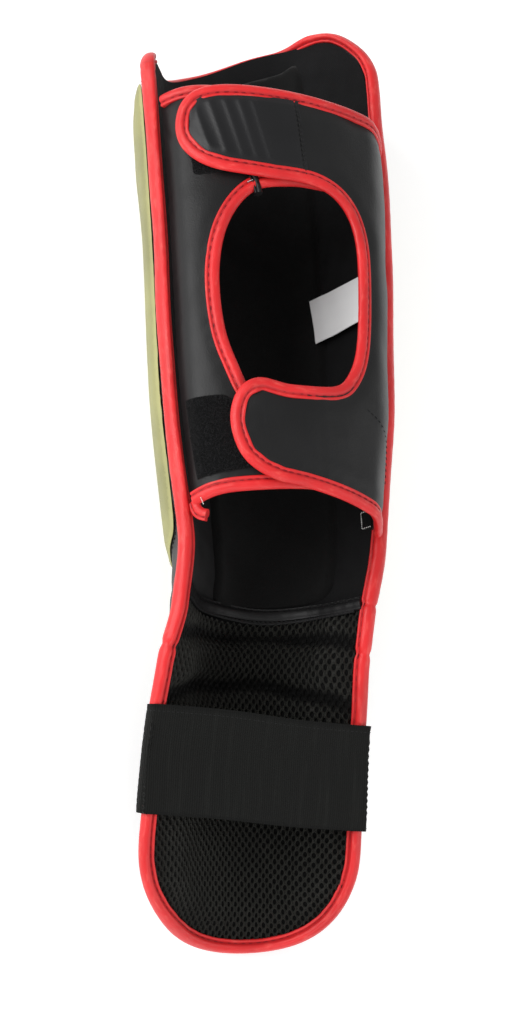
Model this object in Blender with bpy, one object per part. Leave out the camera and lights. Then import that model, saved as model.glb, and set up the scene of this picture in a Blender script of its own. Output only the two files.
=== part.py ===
"""Shin and instep guard, lying on its front with the calf side up.

The knee end points along +Y, the toe end along -Y, and +Z is up. All sizes are in metres.
The padded shell is worked out on a spine that runs from the knee end to the toe. A place on the
shell is given by its opened-out distance across, its distance along the spine, and its height
above the shell's middle surface, towards the leg. A place on the calf wraps is given by its share
of the way from the crown of the calf to the side edge, its distance along, and its lift outwards.
"""
from collections import namedtuple
from math import ceil, cos, pi, radians, sin

import bmesh
import bpy
import numpy as np
from mathutils import Vector

# Length and width of the guard
SHIN_LENGTH = 0.268            # ends of the side edges to the ankle seam, along the pad
INSTEP_LENGTH = 0.159          # ankle seam to the toe edge
KNEE_RISE = 0.046              # top edge above the ends of the side edges
TOE_DEPTH = 0.049              # length of the rounded toe
SHIN_HALF_WIDTH = 0.090        # half of the shin pad's width, opened out
INSTEP_HALF_WIDTH = 0.061
SHIN_RADIUS = 0.050            # hollow of the shin pad round its front
INSTEP_RADIUS = 0.057
ANKLE_SWAY = 0.0095            # how far the ankle lies to the left of the shin's line
SHIN_SLOPE = radians(5.0)      # ankle higher than knee, as it lies on its front
INSTEP_SLOPE = radians(15.6)   # toe lower than ankle
BEND_LENGTH = 0.073            # stretch behind the ankle seam where the shell bends

# Thicknesses
PAD_THICKNESS = 0.008
PAD_EDGE = 0.0032
PAD_TAPER = 0.022              # distance in which the foam reaches its full thickness
LINING = 0.0017
PANEL_LINING = 0.0022
MESH_EDGE = 0.0018
MESH_SWELL = 0.0052
FRONT_PAD_CROWN = 0.0125
FRONT_PAD_EDGE = 0.0014
INSTEP_FRONT_CROWN = 0.0085
INSTEP_FRONT_EDGE = 0.002
WRAP_THICKNESS = 0.003
STRAP_THICKNESS = 0.003
PATCH_THICKNESS = 0.0005
LOOP_PATCH = 0.0006
GAP = 0.0004                   # between two pieces that touch

# Binding
PIPING_WIDTH = 0.007
PIPING_HEIGHT = 0.008
BINDING_WIDTH = 0.0074
BINDING_HEIGHT = 0.0046

# Calf wraps
CALF_CROWN = 0.027             # height of the calf's crown over the side edges
WRAP_START = 0.033             # top edge of the right wrap
UPPER_STRAP = 0.041            # strap widths between the middles of their bindings
WINDOW = 0.112
LOWER_STRAP = 0.043
WRAP_TUCK = 0.0038             # the wraps are sewn on inside the shell's binding
STRAP_LIFT = 0.0055            # straps pass over the left wrap's tabs
STRAP_RAMP = (0.55, 0.88)      # shares of the way to the right edge where they come down again

# Small parts
FRONT_PAD_START = 0.002        # below the ends of the side edges
FRONT_PAD_END = 0.016          # above the ankle seam
FRONT_PAD_FULL = (1.2, 4.0)     # power of its section at the knee, and towards the ankle
FRONT_PAD_TAPER = (0.0, 0.12)  # stretch in which it gets narrower and lower
FRONT_PAD_THIN = 0.20           # share of its height that it loses there
FRONT_PAD_ROUND = 0.030        # length in which its ends reach their full height
FRONT_PAD_SPREAD = 0.93        # share of the shell's width that the olive pad covers
INSTEP_FRONT_SPREAD = 0.60
INSTEP_FRONT_MARGIN = 0.017
INSTEP_FRONT_ROUND = 0.020     # length in which it reaches its full height
PANEL_MARGIN = 0.0085
PANEL_SHARES = (-0.26, 0.56)   # side edges of the raised lining panel, as shares of the half width
PANEL_DROP = 0.006             # its lower edge above the ankle seam
ANKLE_BAND = 0.0056
ANKLE_BAND_HEIGHT = 0.0030
ELASTIC_WIDTH = 0.050
ELASTIC_START = 0.046          # behind the ankle seam
ELASTIC_THICKNESS = 0.0016
ELASTIC_WRAP = 0.60            # share of the half width where the sewn ends stop
ELASTIC_RISE = 0.0015          # crown of its stretch over the sole side
ELASTIC_FACET = 0.07           # share of half its run
ELASTIC_TURNS = (-90, -55, -20, 15, 55)  # degrees round the binding, from outside to inside
LABEL_LENGTH = 0.025
LABEL_WIDTH = 0.034
LABEL_THICKNESS = 0.0005
LABEL_PLACE = (0.725, 0.422)   # shares of the half width and of the shin's length
LABEL_TURN = radians(-8)
PATCH_END = 0.02               # share of the way to the right edge where the ribbed patch is sewn
PATCH_SLANT = 0.09
SIZE_TAB = 0.009
SIZE_TAB_PLACE = 0.885         # share of the half width
SIZE_TAB_DROP = 0.040          # above the ankle seam
RIB_HEIGHT = 0.0012
RIB_FOOT = 0.0032
RIB_SLANT = 0.16
BINDING_STEP = 0.0075          # facets along the wraps' bindings
PIPING_STEP = 0.012            # facets along the shell's binding
PROBE = 0.001                  # step in which a surface's slope is taken
ACROSS = 0.0095                # facets round the hollow
ALONG = 0.028                  # facets along it, half of that over the bend
REST_CUTS = (0.55, 0.8, 1.1, 1.5)  # further facets of the olive pad where it rests
REST_SINK = 0.0023             # foam pressed flat by its own weight where it rests

Row = namedtuple("Row", "station width radius flare sway")

# Shin: station as a share of SHIN_LENGTH, width of SHIN_HALF_WIDTH, radius of SHIN_RADIUS,
# flare of the side walls from upright in degrees, sway of ANKLE_SWAY
SHIN_ROWS = (
    Row(0.00, 0.99, 1.00, 31, 0.00),
    Row(0.15, 1.00, 1.00, 30, 0.00),
    Row(0.34, 0.99, 1.00, 29, 0.05),
    Row(0.63, 0.95, 0.98, 27, 0.28),
    Row(0.91, 0.82, 0.89, 27, 0.23),
)
# Instep: the same columns, as shares of the instep's sizes
INSTEP_ROWS = (
    Row(0.06, 1.12, 0.75, 31, 0.72),
    Row(0.20, 1.055, 0.81, 41, 1.04),
    Row(0.45, 0.99, 0.95, 56, 0.84),
    Row(0.79, 1.00, 1.00, 56, 0.52),
    Row(1.00, 1.01, 1.00, 56, 0.05),
)

# Top edge: across as a share of the half width, rise as a share of KNEE_RISE
TOP_EDGE = (
    (-1.00, -0.07), (-0.90, 0.11), (-0.65, 0.25), (-0.40, 0.36), (-0.13, 0.61), (0.20, 0.91),
    (0.45, 0.98), (0.62, 1.00), (0.78, 0.90), (0.91, 0.65), (0.98, 0.40), (1.00, 0.15),
)

# Crown of the calf over the side edges: station, share of CALF_CROWN
CROWN_ROWS = ((0.0, 1.0), (0.6, 1.0), (1.0, 0.85))

# Swell of the instep mesh between its creases: share of INSTEP_LENGTH, share of MESH_SWELL
MESH_ROWS = (
    (0.02, 0.20), (0.06, 0.50), (0.10, 0.12), (0.155, 0.85), (0.205, 0.90), (0.25, 0.10),
    (0.31, 0.85), (0.50, 1.0), (0.90, 1.0), (1.0, 0.9),
)

# Outline of the right wrap's binding: share of the way to the side edge, level along the calf.
# Level 0 to 1 is the upper strap, 1 to 2 the window, 2 to 3 the lower strap.
RIGHT_WRAP = (
    (0.93, 0.00), (0.66, -0.03), (0.30, -0.07), (-0.15, -0.10), (-0.57, -0.12), (-0.73, 0.01),
    (-0.78, 0.32), (-0.73, 0.61), (-0.57, 0.82), (-0.25, 0.92), (0.12, 0.97), (0.34, 1.07),
    (0.45, 1.23), (0.47, 1.50), (0.44, 1.74), (0.35, 1.89), (0.20, 1.97), (-0.14, 1.985),
    (-0.37, 1.96), (-0.49, 2.03), (-0.53, 2.32), (-0.46, 2.66), (-0.28, 2.86), (0.00, 2.95),
    (0.48, 3.07), (0.89, 3.20),
)
# Outline of the left wrap's binding, whose tabs end under the straps
LEFT_WRAP = (
    (-0.93, -0.19), (-0.70, -0.21), (-0.40, -0.13), (-0.05, 0.09), (0.30, 0.17), (0.38, 0.35),
    (0.38, 0.74), (0.27, 0.91), (-0.05, 0.94), (-0.35, 1.02), (-0.555, 1.18), (-0.65, 1.41),
    (-0.625, 1.68), (-0.54, 1.87), (-0.43, 2.02), (-0.20, 2.28), (0.10, 2.36), (0.32, 2.40),
    (0.38, 2.60), (0.30, 2.88), (0.00, 2.91), (-0.45, 2.95), (-0.70, 2.98), (-0.91, 3.04),
)
# Corners of the fastening patches, in the same columns
UPPER_LOOP = (
    (-0.74, 0.09), (-0.10, 0.29), (0.20, 0.42), (0.20, 0.72), (-0.08, 0.77), (-0.34, 0.86),
    (-0.74, 0.92),
)
LOWER_LOOP = (
    (-0.89, 1.985), (-0.60, 1.99), (-0.44, 2.19), (-0.20, 2.45), (0.10, 2.54), (0.10, 2.74),
    (-0.45, 2.80), (-0.85, 2.86),
)
RIB_SHARES = (-0.47, -0.36, -0.25, -0.14)

# Half outline of the olive pad: share of its half width, share of its length
FRONT_PAD_ROWS = (
    (0.60, 0.0), (0.88, 0.015), (0.98, 0.06), (1.0, 0.5), (0.98, 0.90), (0.82, 0.97), (0.40, 1.0),
)

BLACK_COVER = ((0.022, 0.022, 0.024), 0.42)
BLACK_CLOTH = ((0.010, 0.010, 0.011), 0.90)
RED_BINDING = ((0.78, 0.035, 0.035), 0.45)
OLIVE_COVER = ((0.42, 0.42, 0.15), 0.50)
AIR_MESH = ((0.014, 0.014, 0.013), 0.85)
LOOP_CLOTH = ((0.008, 0.008, 0.009), 0.95)
ELASTIC = ((0.016, 0.017, 0.016), 0.88)
RIBBED = ((0.018, 0.018, 0.020), 0.50)
WHITE_LABEL = ((0.75, 0.75, 0.75), 0.70)


def monotone(xs, ys, x):
    """Value at x of a smooth curve through the points that never overshoots them."""
    xs = np.asarray(xs, float)
    ys = np.asarray(ys, float)
    step = np.diff(xs)
    rise = np.diff(ys) / step
    slope = np.zeros_like(ys)
    slope[0], slope[-1] = rise[0], rise[-1]
    for i in range(1, len(xs) - 1):
        if rise[i - 1] * rise[i] > 0:
            a = 2 * step[i] + step[i - 1]
            b = step[i] + 2 * step[i - 1]
            slope[i] = (a + b) / (a / rise[i - 1] + b / rise[i])
    x = np.clip(x, xs[0], xs[-1])
    i = np.clip(np.searchsorted(xs, x, side="right") - 1, 0, len(xs) - 2)
    t = (x - xs[i]) / step[i]
    left = (1 + 2 * t) * (1 - t) ** 2 * ys[i] + t * (1 - t) ** 2 * step[i] * slope[i]
    return left + t * t * (3 - 2 * t) * ys[i + 1] + t * t * (t - 1) * step[i] * slope[i + 1]


def smooth(start, end, x):
    """Smooth step from 0 at start to 1 at end."""
    t = np.clip((np.asarray(x, float) - start) / (end - start), 0, 1)
    return t * t * (3 - 2 * t)


def along(station):
    """Distance along the spine of a station: 0 to 1 is the shin, 1 to 2 the instep."""
    return SHIN_LENGTH * np.minimum(station, 1) + INSTEP_LENGTH * np.maximum(np.asarray(station) - 1, 0)


def sizes(column, shin, instep):
    """A column of both tables, each in its own size."""
    upper = [getattr(row, column) * shin for row in SHIN_ROWS]
    return np.array(upper + [getattr(row, column) * instep for row in INSTEP_ROWS])


STATIONS = np.array([along(r.station) for r in SHIN_ROWS] + [along(1 + r.station) for r in INSTEP_ROWS])
WIDTHS = sizes("width", SHIN_HALF_WIDTH, INSTEP_HALF_WIDTH)
RADII = sizes("radius", SHIN_RADIUS, INSTEP_RADIUS)
FLARES = np.radians([r.flare for r in SHIN_ROWS + INSTEP_ROWS])
SWAYS = np.array([-r.sway * ANKLE_SWAY for r in SHIN_ROWS + INSTEP_ROWS])
TOTAL = SHIN_LENGTH + INSTEP_LENGTH


def half_width(s):
    """Half of the shell's opened-out width at a distance along."""
    return monotone(STATIONS, WIDTHS, s)


def build_spine():
    """Distances along the spine, with the place and the slope there."""
    s = np.linspace(-1.2 * KNEE_RISE, TOTAL, 600)
    bend = smooth(SHIN_LENGTH, SHIN_LENGTH + BEND_LENGTH, s)
    slope = SHIN_SLOPE - bend * (SHIN_SLOPE + INSTEP_SLOPE)
    step = np.diff(s)
    middle = (slope[1:] + slope[:-1]) / 2
    y = np.concatenate([[0], np.cumsum(-np.cos(middle) * step)])
    z = np.concatenate([[0], np.cumsum(np.sin(middle) * step)])
    return s, y, z, slope


SPINE = build_spine()


def place(s, x, up):
    """World place of a point in the cross-section at s: x across, up towards the leg."""
    y0, z0, slope = (np.interp(s, SPINE[0], column) for column in SPINE[1:])
    return np.stack([x, y0 + up * np.sin(slope), z0 + up * np.cos(slope)], -1)


def section(d, s, h=0.0):
    """Cross-section place of an opened-out distance d: a round front with straight side walls."""
    radius = monotone(STATIONS, RADII, s)
    arc = pi / 2 - monotone(STATIONS, FLARES, s)
    turn = np.minimum(np.abs(d) / radius, arc)
    wall = np.maximum(np.abs(d) - radius * arc, 0)
    x = radius * np.sin(turn) + wall * np.cos(turn) - h * np.sin(turn)
    up = radius * (1 - np.cos(turn)) + wall * np.sin(turn) + h * np.cos(turn)
    return np.where(d < 0, -1, 1) * x + monotone(STATIONS, SWAYS, s), up


def shell(d, s, h=0.0):
    """World place on the shell, h above its middle surface."""
    d, s, h = np.broadcast_arrays(np.asarray(d, float), np.asarray(s, float), np.asarray(h, float))
    x, up = section(d, s, h)
    return place(s, x, up)


def calf(u, s, lift=0.0):
    """World place on the calf wraps: u runs from -1 at the left side edge to 1 at the right one."""
    u, s, lift = (np.atleast_1d(v).astype(float) for v in np.broadcast_arrays(u, s, lift))
    middle = monotone(STATIONS, SWAYS, s)
    edge, base = section(half_width(s), s)
    edge = edge - middle - WRAP_TUCK
    crown = CALF_CROWN * monotone(*zip(*CROWN_ROWS), s / SHIN_LENGTH)
    angle = np.linspace(0, pi, 49)
    run_x = -edge[:, None] * np.cos(angle)
    run_up = crown[:, None] * np.sin(angle)
    steps = np.hypot(np.diff(run_x), np.diff(run_up))
    run = np.concatenate([np.zeros((len(s), 1)), np.cumsum(steps, 1)], 1)
    t = np.array([np.interp((share + 1) / 2 * row[-1], row, angle) for share, row in zip(u, run)])
    nx = -crown * np.cos(t)
    nz = edge * np.sin(t)
    size = np.hypot(nx, nz)
    x = middle - edge * np.cos(t) + lift * nx / size
    return place(s, x, base + crown * np.sin(t) + lift * nz / size)


CALF_HALF = 0.0735 * SHIN_HALF_WIDTH / 0.090


def wraps(x, s, lift=0.0):
    """The calf surface from a distance x across its crown, so that widths stay true."""
    return calf(np.asarray(x) / CALF_HALF, s, lift)


def strap_lift(x):
    """Lift of the right wrap's underside."""
    return STRAP_LIFT * (1 - smooth(STRAP_RAMP[0], STRAP_RAMP[1], np.asarray(x) / CALF_HALF))


def straps(x, s, lift=0.0):
    """The surface of the right wrap, which passes over the left one."""
    return wraps(x, s, strap_lift(x) + lift)


def level(value):
    """Distance along of a level on the calf wraps."""
    whole = (UPPER_STRAP, WINDOW, LOWER_STRAP)
    parts = [size * np.clip(value - i, 0, 1) for i, size in enumerate(whole)]
    return WRAP_START + sum(parts) + UPPER_STRAP * min(value, 0) + LOWER_STRAP * max(value - 3, 0)


def on_calf(rows):
    """Points (across, along) of a table of shares and levels."""
    return [(u * CALF_HALF, level(v)) for u, v in rows]


def curve(points, spacing, closed=False):
    """Points at even spacing on a smooth curve through the given points."""
    pts = np.array(points, float)
    if closed:
        ring = np.vstack([pts[-1], pts, pts[0], pts[1]])
    else:
        ring = np.vstack([2 * pts[0] - pts[1], pts, 2 * pts[-1] - pts[-2]])
    fine = []
    for a, b, c, d in zip(ring, ring[1:], ring[2:], ring[3:]):
        for t in np.linspace(0, 1, 12, endpoint=False):
            bend = (2 * a - 5 * b + 4 * c - d) * t * t + (3 * b - a - 3 * c + d) * t ** 3
            fine.append((2 * b + (c - a) * t + bend) / 2)
    fine.append(ring[-2])
    return resample(np.array(fine), spacing, closed)


def resample(fine, spacing, closed=False):
    """Points at even spacing along a fine path."""
    run = np.concatenate([[0], np.cumsum(np.linalg.norm(np.diff(fine, axis=0), axis=1))])
    count = max(3, ceil(run[-1] / spacing))
    at = np.linspace(0, run[-1], count + 1)
    if closed:
        at = at[:-1]
    return np.stack([np.interp(at, run, fine[:, i]) for i in range(fine.shape[1])], 1)


def inset(points, distance, closed=True):
    """Points moved to the left of their path's direction."""
    pts = np.array(points, float)
    if closed:
        before, after = np.roll(pts, 1, 0), np.roll(pts, -1, 0)
    else:
        before, after = np.vstack([pts[:1], pts[:-1]]), np.vstack([pts[1:], pts[-1:]])
    run = after - before
    run /= np.linalg.norm(run, axis=1, keepdims=True)
    return pts + distance * np.stack([-run[:, 1], run[:, 0]], 1)


def shell_edge(spacing):
    """The middle of the binding round the whole shell, anticlockwise in (across, along)."""
    top = [(u * half_width(0.0), -rise * KNEE_RISE) for u, rise in TOP_EDGE]
    toe_start = TOTAL - TOE_DEPTH
    side = np.linspace(0.0, toe_start, 24)[1:]
    angle = np.linspace(0, pi, 16)[1:-1]
    toe = [(half_width(toe_start) * cos(a), toe_start + TOE_DEPTH * sin(a)) for a in angle]
    right = [(half_width(s), s) for s in side]
    left = [(-half_width(s), s) for s in side[::-1]]
    return curve(top + right + toe + left, spacing, closed=True)


def closed_mesh(name, points, faces, finish):
    """Object of one closed mesh with its faces pointing out."""
    mesh = bpy.data.meshes.new(name)
    mesh.from_pydata([Vector(p) for p in points], [], faces)
    bm = bmesh.new()
    bm.from_mesh(mesh)
    bmesh.ops.triangulate(bm, faces=bm.faces)
    bmesh.ops.recalc_face_normals(bm, faces=bm.faces)
    bm.to_mesh(mesh)
    bm.free()
    mesh.shade_smooth()
    mesh.set_sharp_from_angle(angle=radians(40))
    mesh.materials.append(material(name, finish))
    thing = bpy.data.objects.new(name, mesh)
    bpy.context.scene.collection.objects.link(thing)
    return thing


def material(name, finish):
    """Principled material of a colour and a roughness."""
    colour, roughness = finish
    made = bpy.data.materials.new(name)
    made.use_nodes = True
    shader = made.node_tree.nodes["Principled BSDF"]
    shader.inputs["Base Color"].default_value = (*colour, 1)
    shader.inputs["Roughness"].default_value = roughness
    shader.inputs["Metallic"].default_value = 0
    return made


def cut(bm, point, normal, keep=None):
    """Cut a flat sheet along a line, and keep only one side of it if that is asked."""
    geometry = bm.verts[:] + bm.edges[:] + bm.faces[:]
    bmesh.ops.bisect_plane(
        bm, geom=geometry, dist=1e-7, plane_co=(*point, 0), plane_no=(*normal, 0),
        clear_outer=keep == "behind", clear_inner=keep == "ahead",
    )


def cuts_along():
    """Distances along at which every sheet is cut: closer over the ankle and the instep."""
    shin = np.arange(-2, SHIN_LENGTH / ALONG - 1.5) * ALONG
    instep = np.arange(shin[-1] + ALONG / 2, TOTAL, ALONG / 2)
    return [*shin, *instep]


def sheet(
    name, outline, surface, low, high, finish, across=ACROSS, span=None, lines=(), trim=None, floor=None,
):
    """Solid between two heights over an outline that is drawn flat, laid on a surface.

    Cuts lie at the same places for every piece, so that pieces on one surface share their facets. span
    keeps a stretch along, lines are further cuts as (point, normal), and trim takes off what lies
    ahead of one.
    """
    bm = bmesh.new()
    bm.faces.new([bm.verts.new((x, y, 0)) for x, y in outline])
    if span:
        cut(bm, (0, span[0]), (0, 1), "ahead")
        cut(bm, (0, span[1]), (0, 1), "behind")
    if trim:
        cut(bm, *trim, "behind")
    flat = np.array([v.co[:2] for v in bm.verts])
    for k in range(ceil(flat[:, 0].min() / across), ceil(flat[:, 0].max() / across)):
        cut(bm, (k * across, 0), (1, 0))
    for s in cuts_along():
        if flat[:, 1].min() < s < flat[:, 1].max():
            cut(bm, (0, s), (0, 1))
    for point, normal in lines:
        cut(bm, point, normal)
    bmesh.ops.remove_doubles(bm, verts=bm.verts, dist=1e-5)
    bmesh.ops.triangulate(bm, faces=bm.faces, ngon_method="EAR_CLIP")
    bm.verts.index_update()
    flat = np.array([v.co[:2] for v in bm.verts])
    x, y = flat[:, 0], flat[:, 1]
    upper = surface(x, y, high(x, y) if callable(high) else high)
    lower = surface(x, y, low(x, y) if callable(low) else low)
    if floor is not None:
        lower[:, 2] = np.maximum(lower[:, 2], floor)
    count = len(flat)
    faces = [[v.index for v in f.verts] for f in bm.faces]
    faces += [[v.index + count for v in reversed(f.verts)] for f in bm.faces]
    for edge in bm.edges:
        if len(edge.link_loops) == 1:
            loop = edge.link_loops[0]
            a, b = loop.vert.index, loop.link_loop_next.vert.index
            faces.append([b, a, a + count, b + count])
    bm.free()
    return closed_mesh(name, np.vstack([upper, lower]), faces, finish)


def tube(name, path, surface, width, height, finish, sides=8, closed=False, middle=0.0):
    """Binding along a path that is drawn flat and laid on a surface."""
    x, y = path[:, 0], path[:, 1]
    centre = surface(x, y, middle)
    outward = surface(x, y, middle + PROBE) - centre
    normal = np.cross(surface(x, y + PROBE, middle) - centre, surface(x + PROBE, y, middle) - centre)
    normal *= np.sign(np.sum(normal * outward, axis=1, keepdims=True))
    normal /= np.linalg.norm(normal, axis=1, keepdims=True)
    if closed:
        run = np.roll(centre, -1, 0) - np.roll(centre, 1, 0)
    else:
        run = np.gradient(centre, axis=0)
    side = np.cross(run, normal)
    side /= np.linalg.norm(side, axis=1, keepdims=True)
    first = 0 if sides % 4 else pi / sides
    wide, high = width / 2 / cos(first), height / 2 / cos(pi / sides)
    turns = first + np.arange(sides) * 2 * pi / sides
    rings = [centre + side * wide * cos(a) + normal * high * sin(a) for a in turns]
    points = np.stack(rings, 1).reshape(-1, 3)
    count = len(centre)
    faces = []
    for i in range(count if closed else count - 1):
        a, b = i * sides, (i + 1) % count * sides
        for k in range(sides):
            n = (k + 1) % sides
            faces.append([a + k, a + n, b + n, b + k])
    if not closed:
        faces.append(list(range(sides)))
        faces.append([(count - 1) * sides + k for k in reversed(range(sides))])
    return closed_mesh(name, points, faces, finish)


def edge_share(d, s):
    """0 at the shell's edge, 1 where the foam has its full thickness."""
    side = half_width(s) - np.abs(d)
    top = monotone(*zip(*TOP_EDGE), d / half_width(s)) * KNEE_RISE + s
    toe_start = TOTAL - TOE_DEPTH
    across = np.clip(np.abs(d) / half_width(toe_start), 0, 1)
    toe = toe_start + TOE_DEPTH * np.sqrt(1 - across ** 2) - s
    near = np.minimum(np.minimum(side, top), toe)
    return smooth(0, PAD_TAPER, near)


def pad_back(d, s):
    """Height of the foam's outer face, which is thinner at the edge."""
    return -(PAD_EDGE + (PAD_THICKNESS - PAD_EDGE) * edge_share(d, s))


def outside_pad(d, s):
    """Height just outside the foam, where the raised pads are sewn on."""
    return pad_back(d, s) - GAP


def front_pad_outline():
    """Rounded outline of the olive pad."""
    start = FRONT_PAD_START
    end = SHIN_LENGTH - FRONT_PAD_END
    right = []
    for share, run in FRONT_PAD_ROWS:
        s = start + run * (end - start)
        right.append((share * FRONT_PAD_SPREAD * half_width(s), s))
    left = [(-x, y) for x, y in reversed(right)]
    return curve(right + left, PIPING_STEP, closed=True)


def front_pad_face(d, s):
    """Outer face of the olive pad, crowned across and rounded off at its edges."""
    share = np.abs(d) / (FRONT_PAD_SPREAD * half_width(s))
    ends = np.minimum(s - FRONT_PAD_START, SHIN_LENGTH - FRONT_PAD_END - s)
    ankle = smooth(*FRONT_PAD_TAPER, s)
    power = FRONT_PAD_FULL[0] + (FRONT_PAD_FULL[1] - FRONT_PAD_FULL[0]) * ankle
    crown = np.clip(1 - share ** 2, 0, 1) ** power
    crown = crown * np.sqrt(smooth(0, FRONT_PAD_ROUND, ends) * 0.9 + 0.1)
    crown = crown * (1 - FRONT_PAD_THIN * ankle)
    thick = FRONT_PAD_EDGE + (FRONT_PAD_CROWN - FRONT_PAD_EDGE) * crown
    return pad_back(d, s) - GAP - thick


def instep_front_outline():
    """Outline of the raised pad outside the instep."""
    start = SHIN_LENGTH + BEND_LENGTH
    toe = TOTAL - INSTEP_FRONT_MARGIN
    wide = INSTEP_FRONT_SPREAD * INSTEP_HALF_WIDTH
    angle = np.linspace(0, pi, 9)
    depth = 0.6 * TOE_DEPTH
    end = [(wide * cos(a), toe - depth + depth * sin(a)) for a in angle]
    corner = ((-0.96, 0.002), (-0.7, -0.002), (0.7, -0.002), (0.96, 0.002))
    return resample(np.array(end + [(wide * u, start + v) for u, v in corner] + end[:1]), 0.010, closed=True)


def instep_front_face(d, s):
    """Outer face of that pad."""
    share = np.abs(d) / (INSTEP_FRONT_SPREAD * INSTEP_HALF_WIDTH)
    rise = smooth(0, INSTEP_FRONT_ROUND, s - SHIN_LENGTH - BEND_LENGTH)
    crown = np.sqrt(np.clip(1.05 - share ** 2, 0, 1)) * (0.5 + 0.5 * rise)
    return pad_back(d, s) - GAP - INSTEP_FRONT_EDGE - (INSTEP_FRONT_CROWN - INSTEP_FRONT_EDGE) * crown


def mesh_face(d, s):
    """Inner face of the padded air mesh, swollen between its creases."""
    swell = MESH_SWELL * monotone(*zip(*MESH_ROWS), (s - SHIN_LENGTH) / INSTEP_LENGTH)
    return MESH_EDGE + swell * edge_share(d, s)


def elastic_surface(u, s, h=0.0):
    """The elastic's run round the instep: u runs from the left sewn end to the right one."""
    u, s, h = (np.atleast_1d(v).astype(float) for v in np.broadcast_arrays(u, s, h))
    clear = GAP + ELASTIC_THICKNESS / 2
    points = []
    for share, at, off in zip(u, s, h):
        half = float(half_width(at))
        outer = -PAD_THICKNESS - clear
        wide, high = PIPING_WIDTH / 2 + clear + 3 * GAP, PIPING_HEIGHT / 2 + clear + 3 * GAP
        rows = [(ELASTIC_WRAP * half, outer), ((1 + ELASTIC_WRAP) / 2 * half, outer)]
        rows += [(half + wide * cos(a), high * sin(a)) for a in np.radians(ELASTIC_TURNS)]
        right = np.array([section(np.float64(d), at, k) for d, k in rows])
        middle = float(monotone(STATIONS, SWAYS, at))
        left = right * (-1, 1) + (2 * middle, 0)
        crown = [(middle, right[-1][1] + ELASTIC_RISE)]
        run = curve(np.vstack([left, crown, right[::-1]]), 0.002)
        length = np.concatenate([[0], np.cumsum(np.linalg.norm(np.diff(run, axis=0), axis=1))])
        here = (share + 1) / 2 * length[-1]
        spot = np.array([np.interp(here, length, run[:, i]) for i in (0, 1)])
        slope = np.gradient(run, axis=0)
        slope = np.array([np.interp(here, length, slope[:, i]) for i in (0, 1)])
        slope /= np.hypot(*slope)
        spot = spot + off * np.array([-slope[1], slope[0]])
        points.append(place(at, spot[0], spot[1]))
    return np.array(points)


def panel_outline(rows, side, margin):
    """Outline of a calf wrap inside its binding, closed off past the side edge."""
    inner = inset(curve(on_calf(rows), BINDING_STEP), margin, closed=False)
    past = side * 1.2 * CALF_HALF
    return [tuple(p) for p in inner] + [(past, inner[-1][1]), (past, inner[0][1])]


def panel(name, rows, side, surface, thickness, finish):
    """Calf wrap inside its binding, from the binding's outline to the side edge."""
    outline = panel_outline(rows, side, BINDING_WIDTH / 2 + 2 * GAP)
    reach = side * (CALF_HALF - PIPING_HEIGHT / 2 - 2 * GAP)
    return sheet(name, outline, surface, 0.0, thickness, finish, trim=((reach, 0), (side, 0)))


def ribs():
    """Cut lines at the foot, crest and foot of each slanting rib."""
    lines = []
    for share in RIB_SHARES:
        for shift in (-RIB_FOOT, -RIB_FOOT / 3, RIB_FOOT / 3, RIB_FOOT):
            lines.append(((share * CALF_HALF + shift, level(0.5)), (1, -RIB_SLANT)))
    return lines


def rib_face(x, s):
    """Outer face of the ribbed patch."""
    across = x - RIB_SLANT * (s - level(0.5))
    height = np.zeros_like(x)
    for share in RIB_SHARES:
        away = np.abs(across - share * CALF_HALF)
        height = np.maximum(height, np.clip((RIB_FOOT - away) / (RIB_FOOT * 2 / 3), 0, 1))
    return STRAP_THICKNESS + GAP + PATCH_THICKNESS + RIB_HEIGHT * height


def label_outline():
    """Four corners of the label, turned a little."""
    run = LABEL_PLACE[1] * SHIN_LENGTH
    across = LABEL_PLACE[0] * half_width(run)
    turn = np.array([[cos(LABEL_TURN), -sin(LABEL_TURN)], [sin(LABEL_TURN), cos(LABEL_TURN)]])
    corners = ((-1, -1), (1, -1), (1, 1), (-1, 1))
    return [turn @ (x * LABEL_WIDTH / 2, y * LABEL_LENGTH / 2) + (across, run) for x, y in corners]


def lining_panel_outline():
    """Outline of the raised lining panel: its top follows the top edge."""
    left, right = PANEL_SHARES
    half = half_width(0.0)
    margin = PANEL_MARGIN + PIPING_WIDTH / 2
    shares = np.linspace(left, right, 6)
    top = [(u * half, margin - monotone(*zip(*TOP_EDGE), u) * KNEE_RISE) for u in shares]
    bottom = SHIN_LENGTH - PANEL_DROP
    low = 0.53 * half_width(bottom)
    corner = [(low + 0.004, bottom - 0.022), (low + 0.002, bottom - 0.010), (low - 0.006, bottom - 0.002)]
    return top + corner + [(low - 0.014, bottom), (left * half_width(bottom), bottom)]


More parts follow.
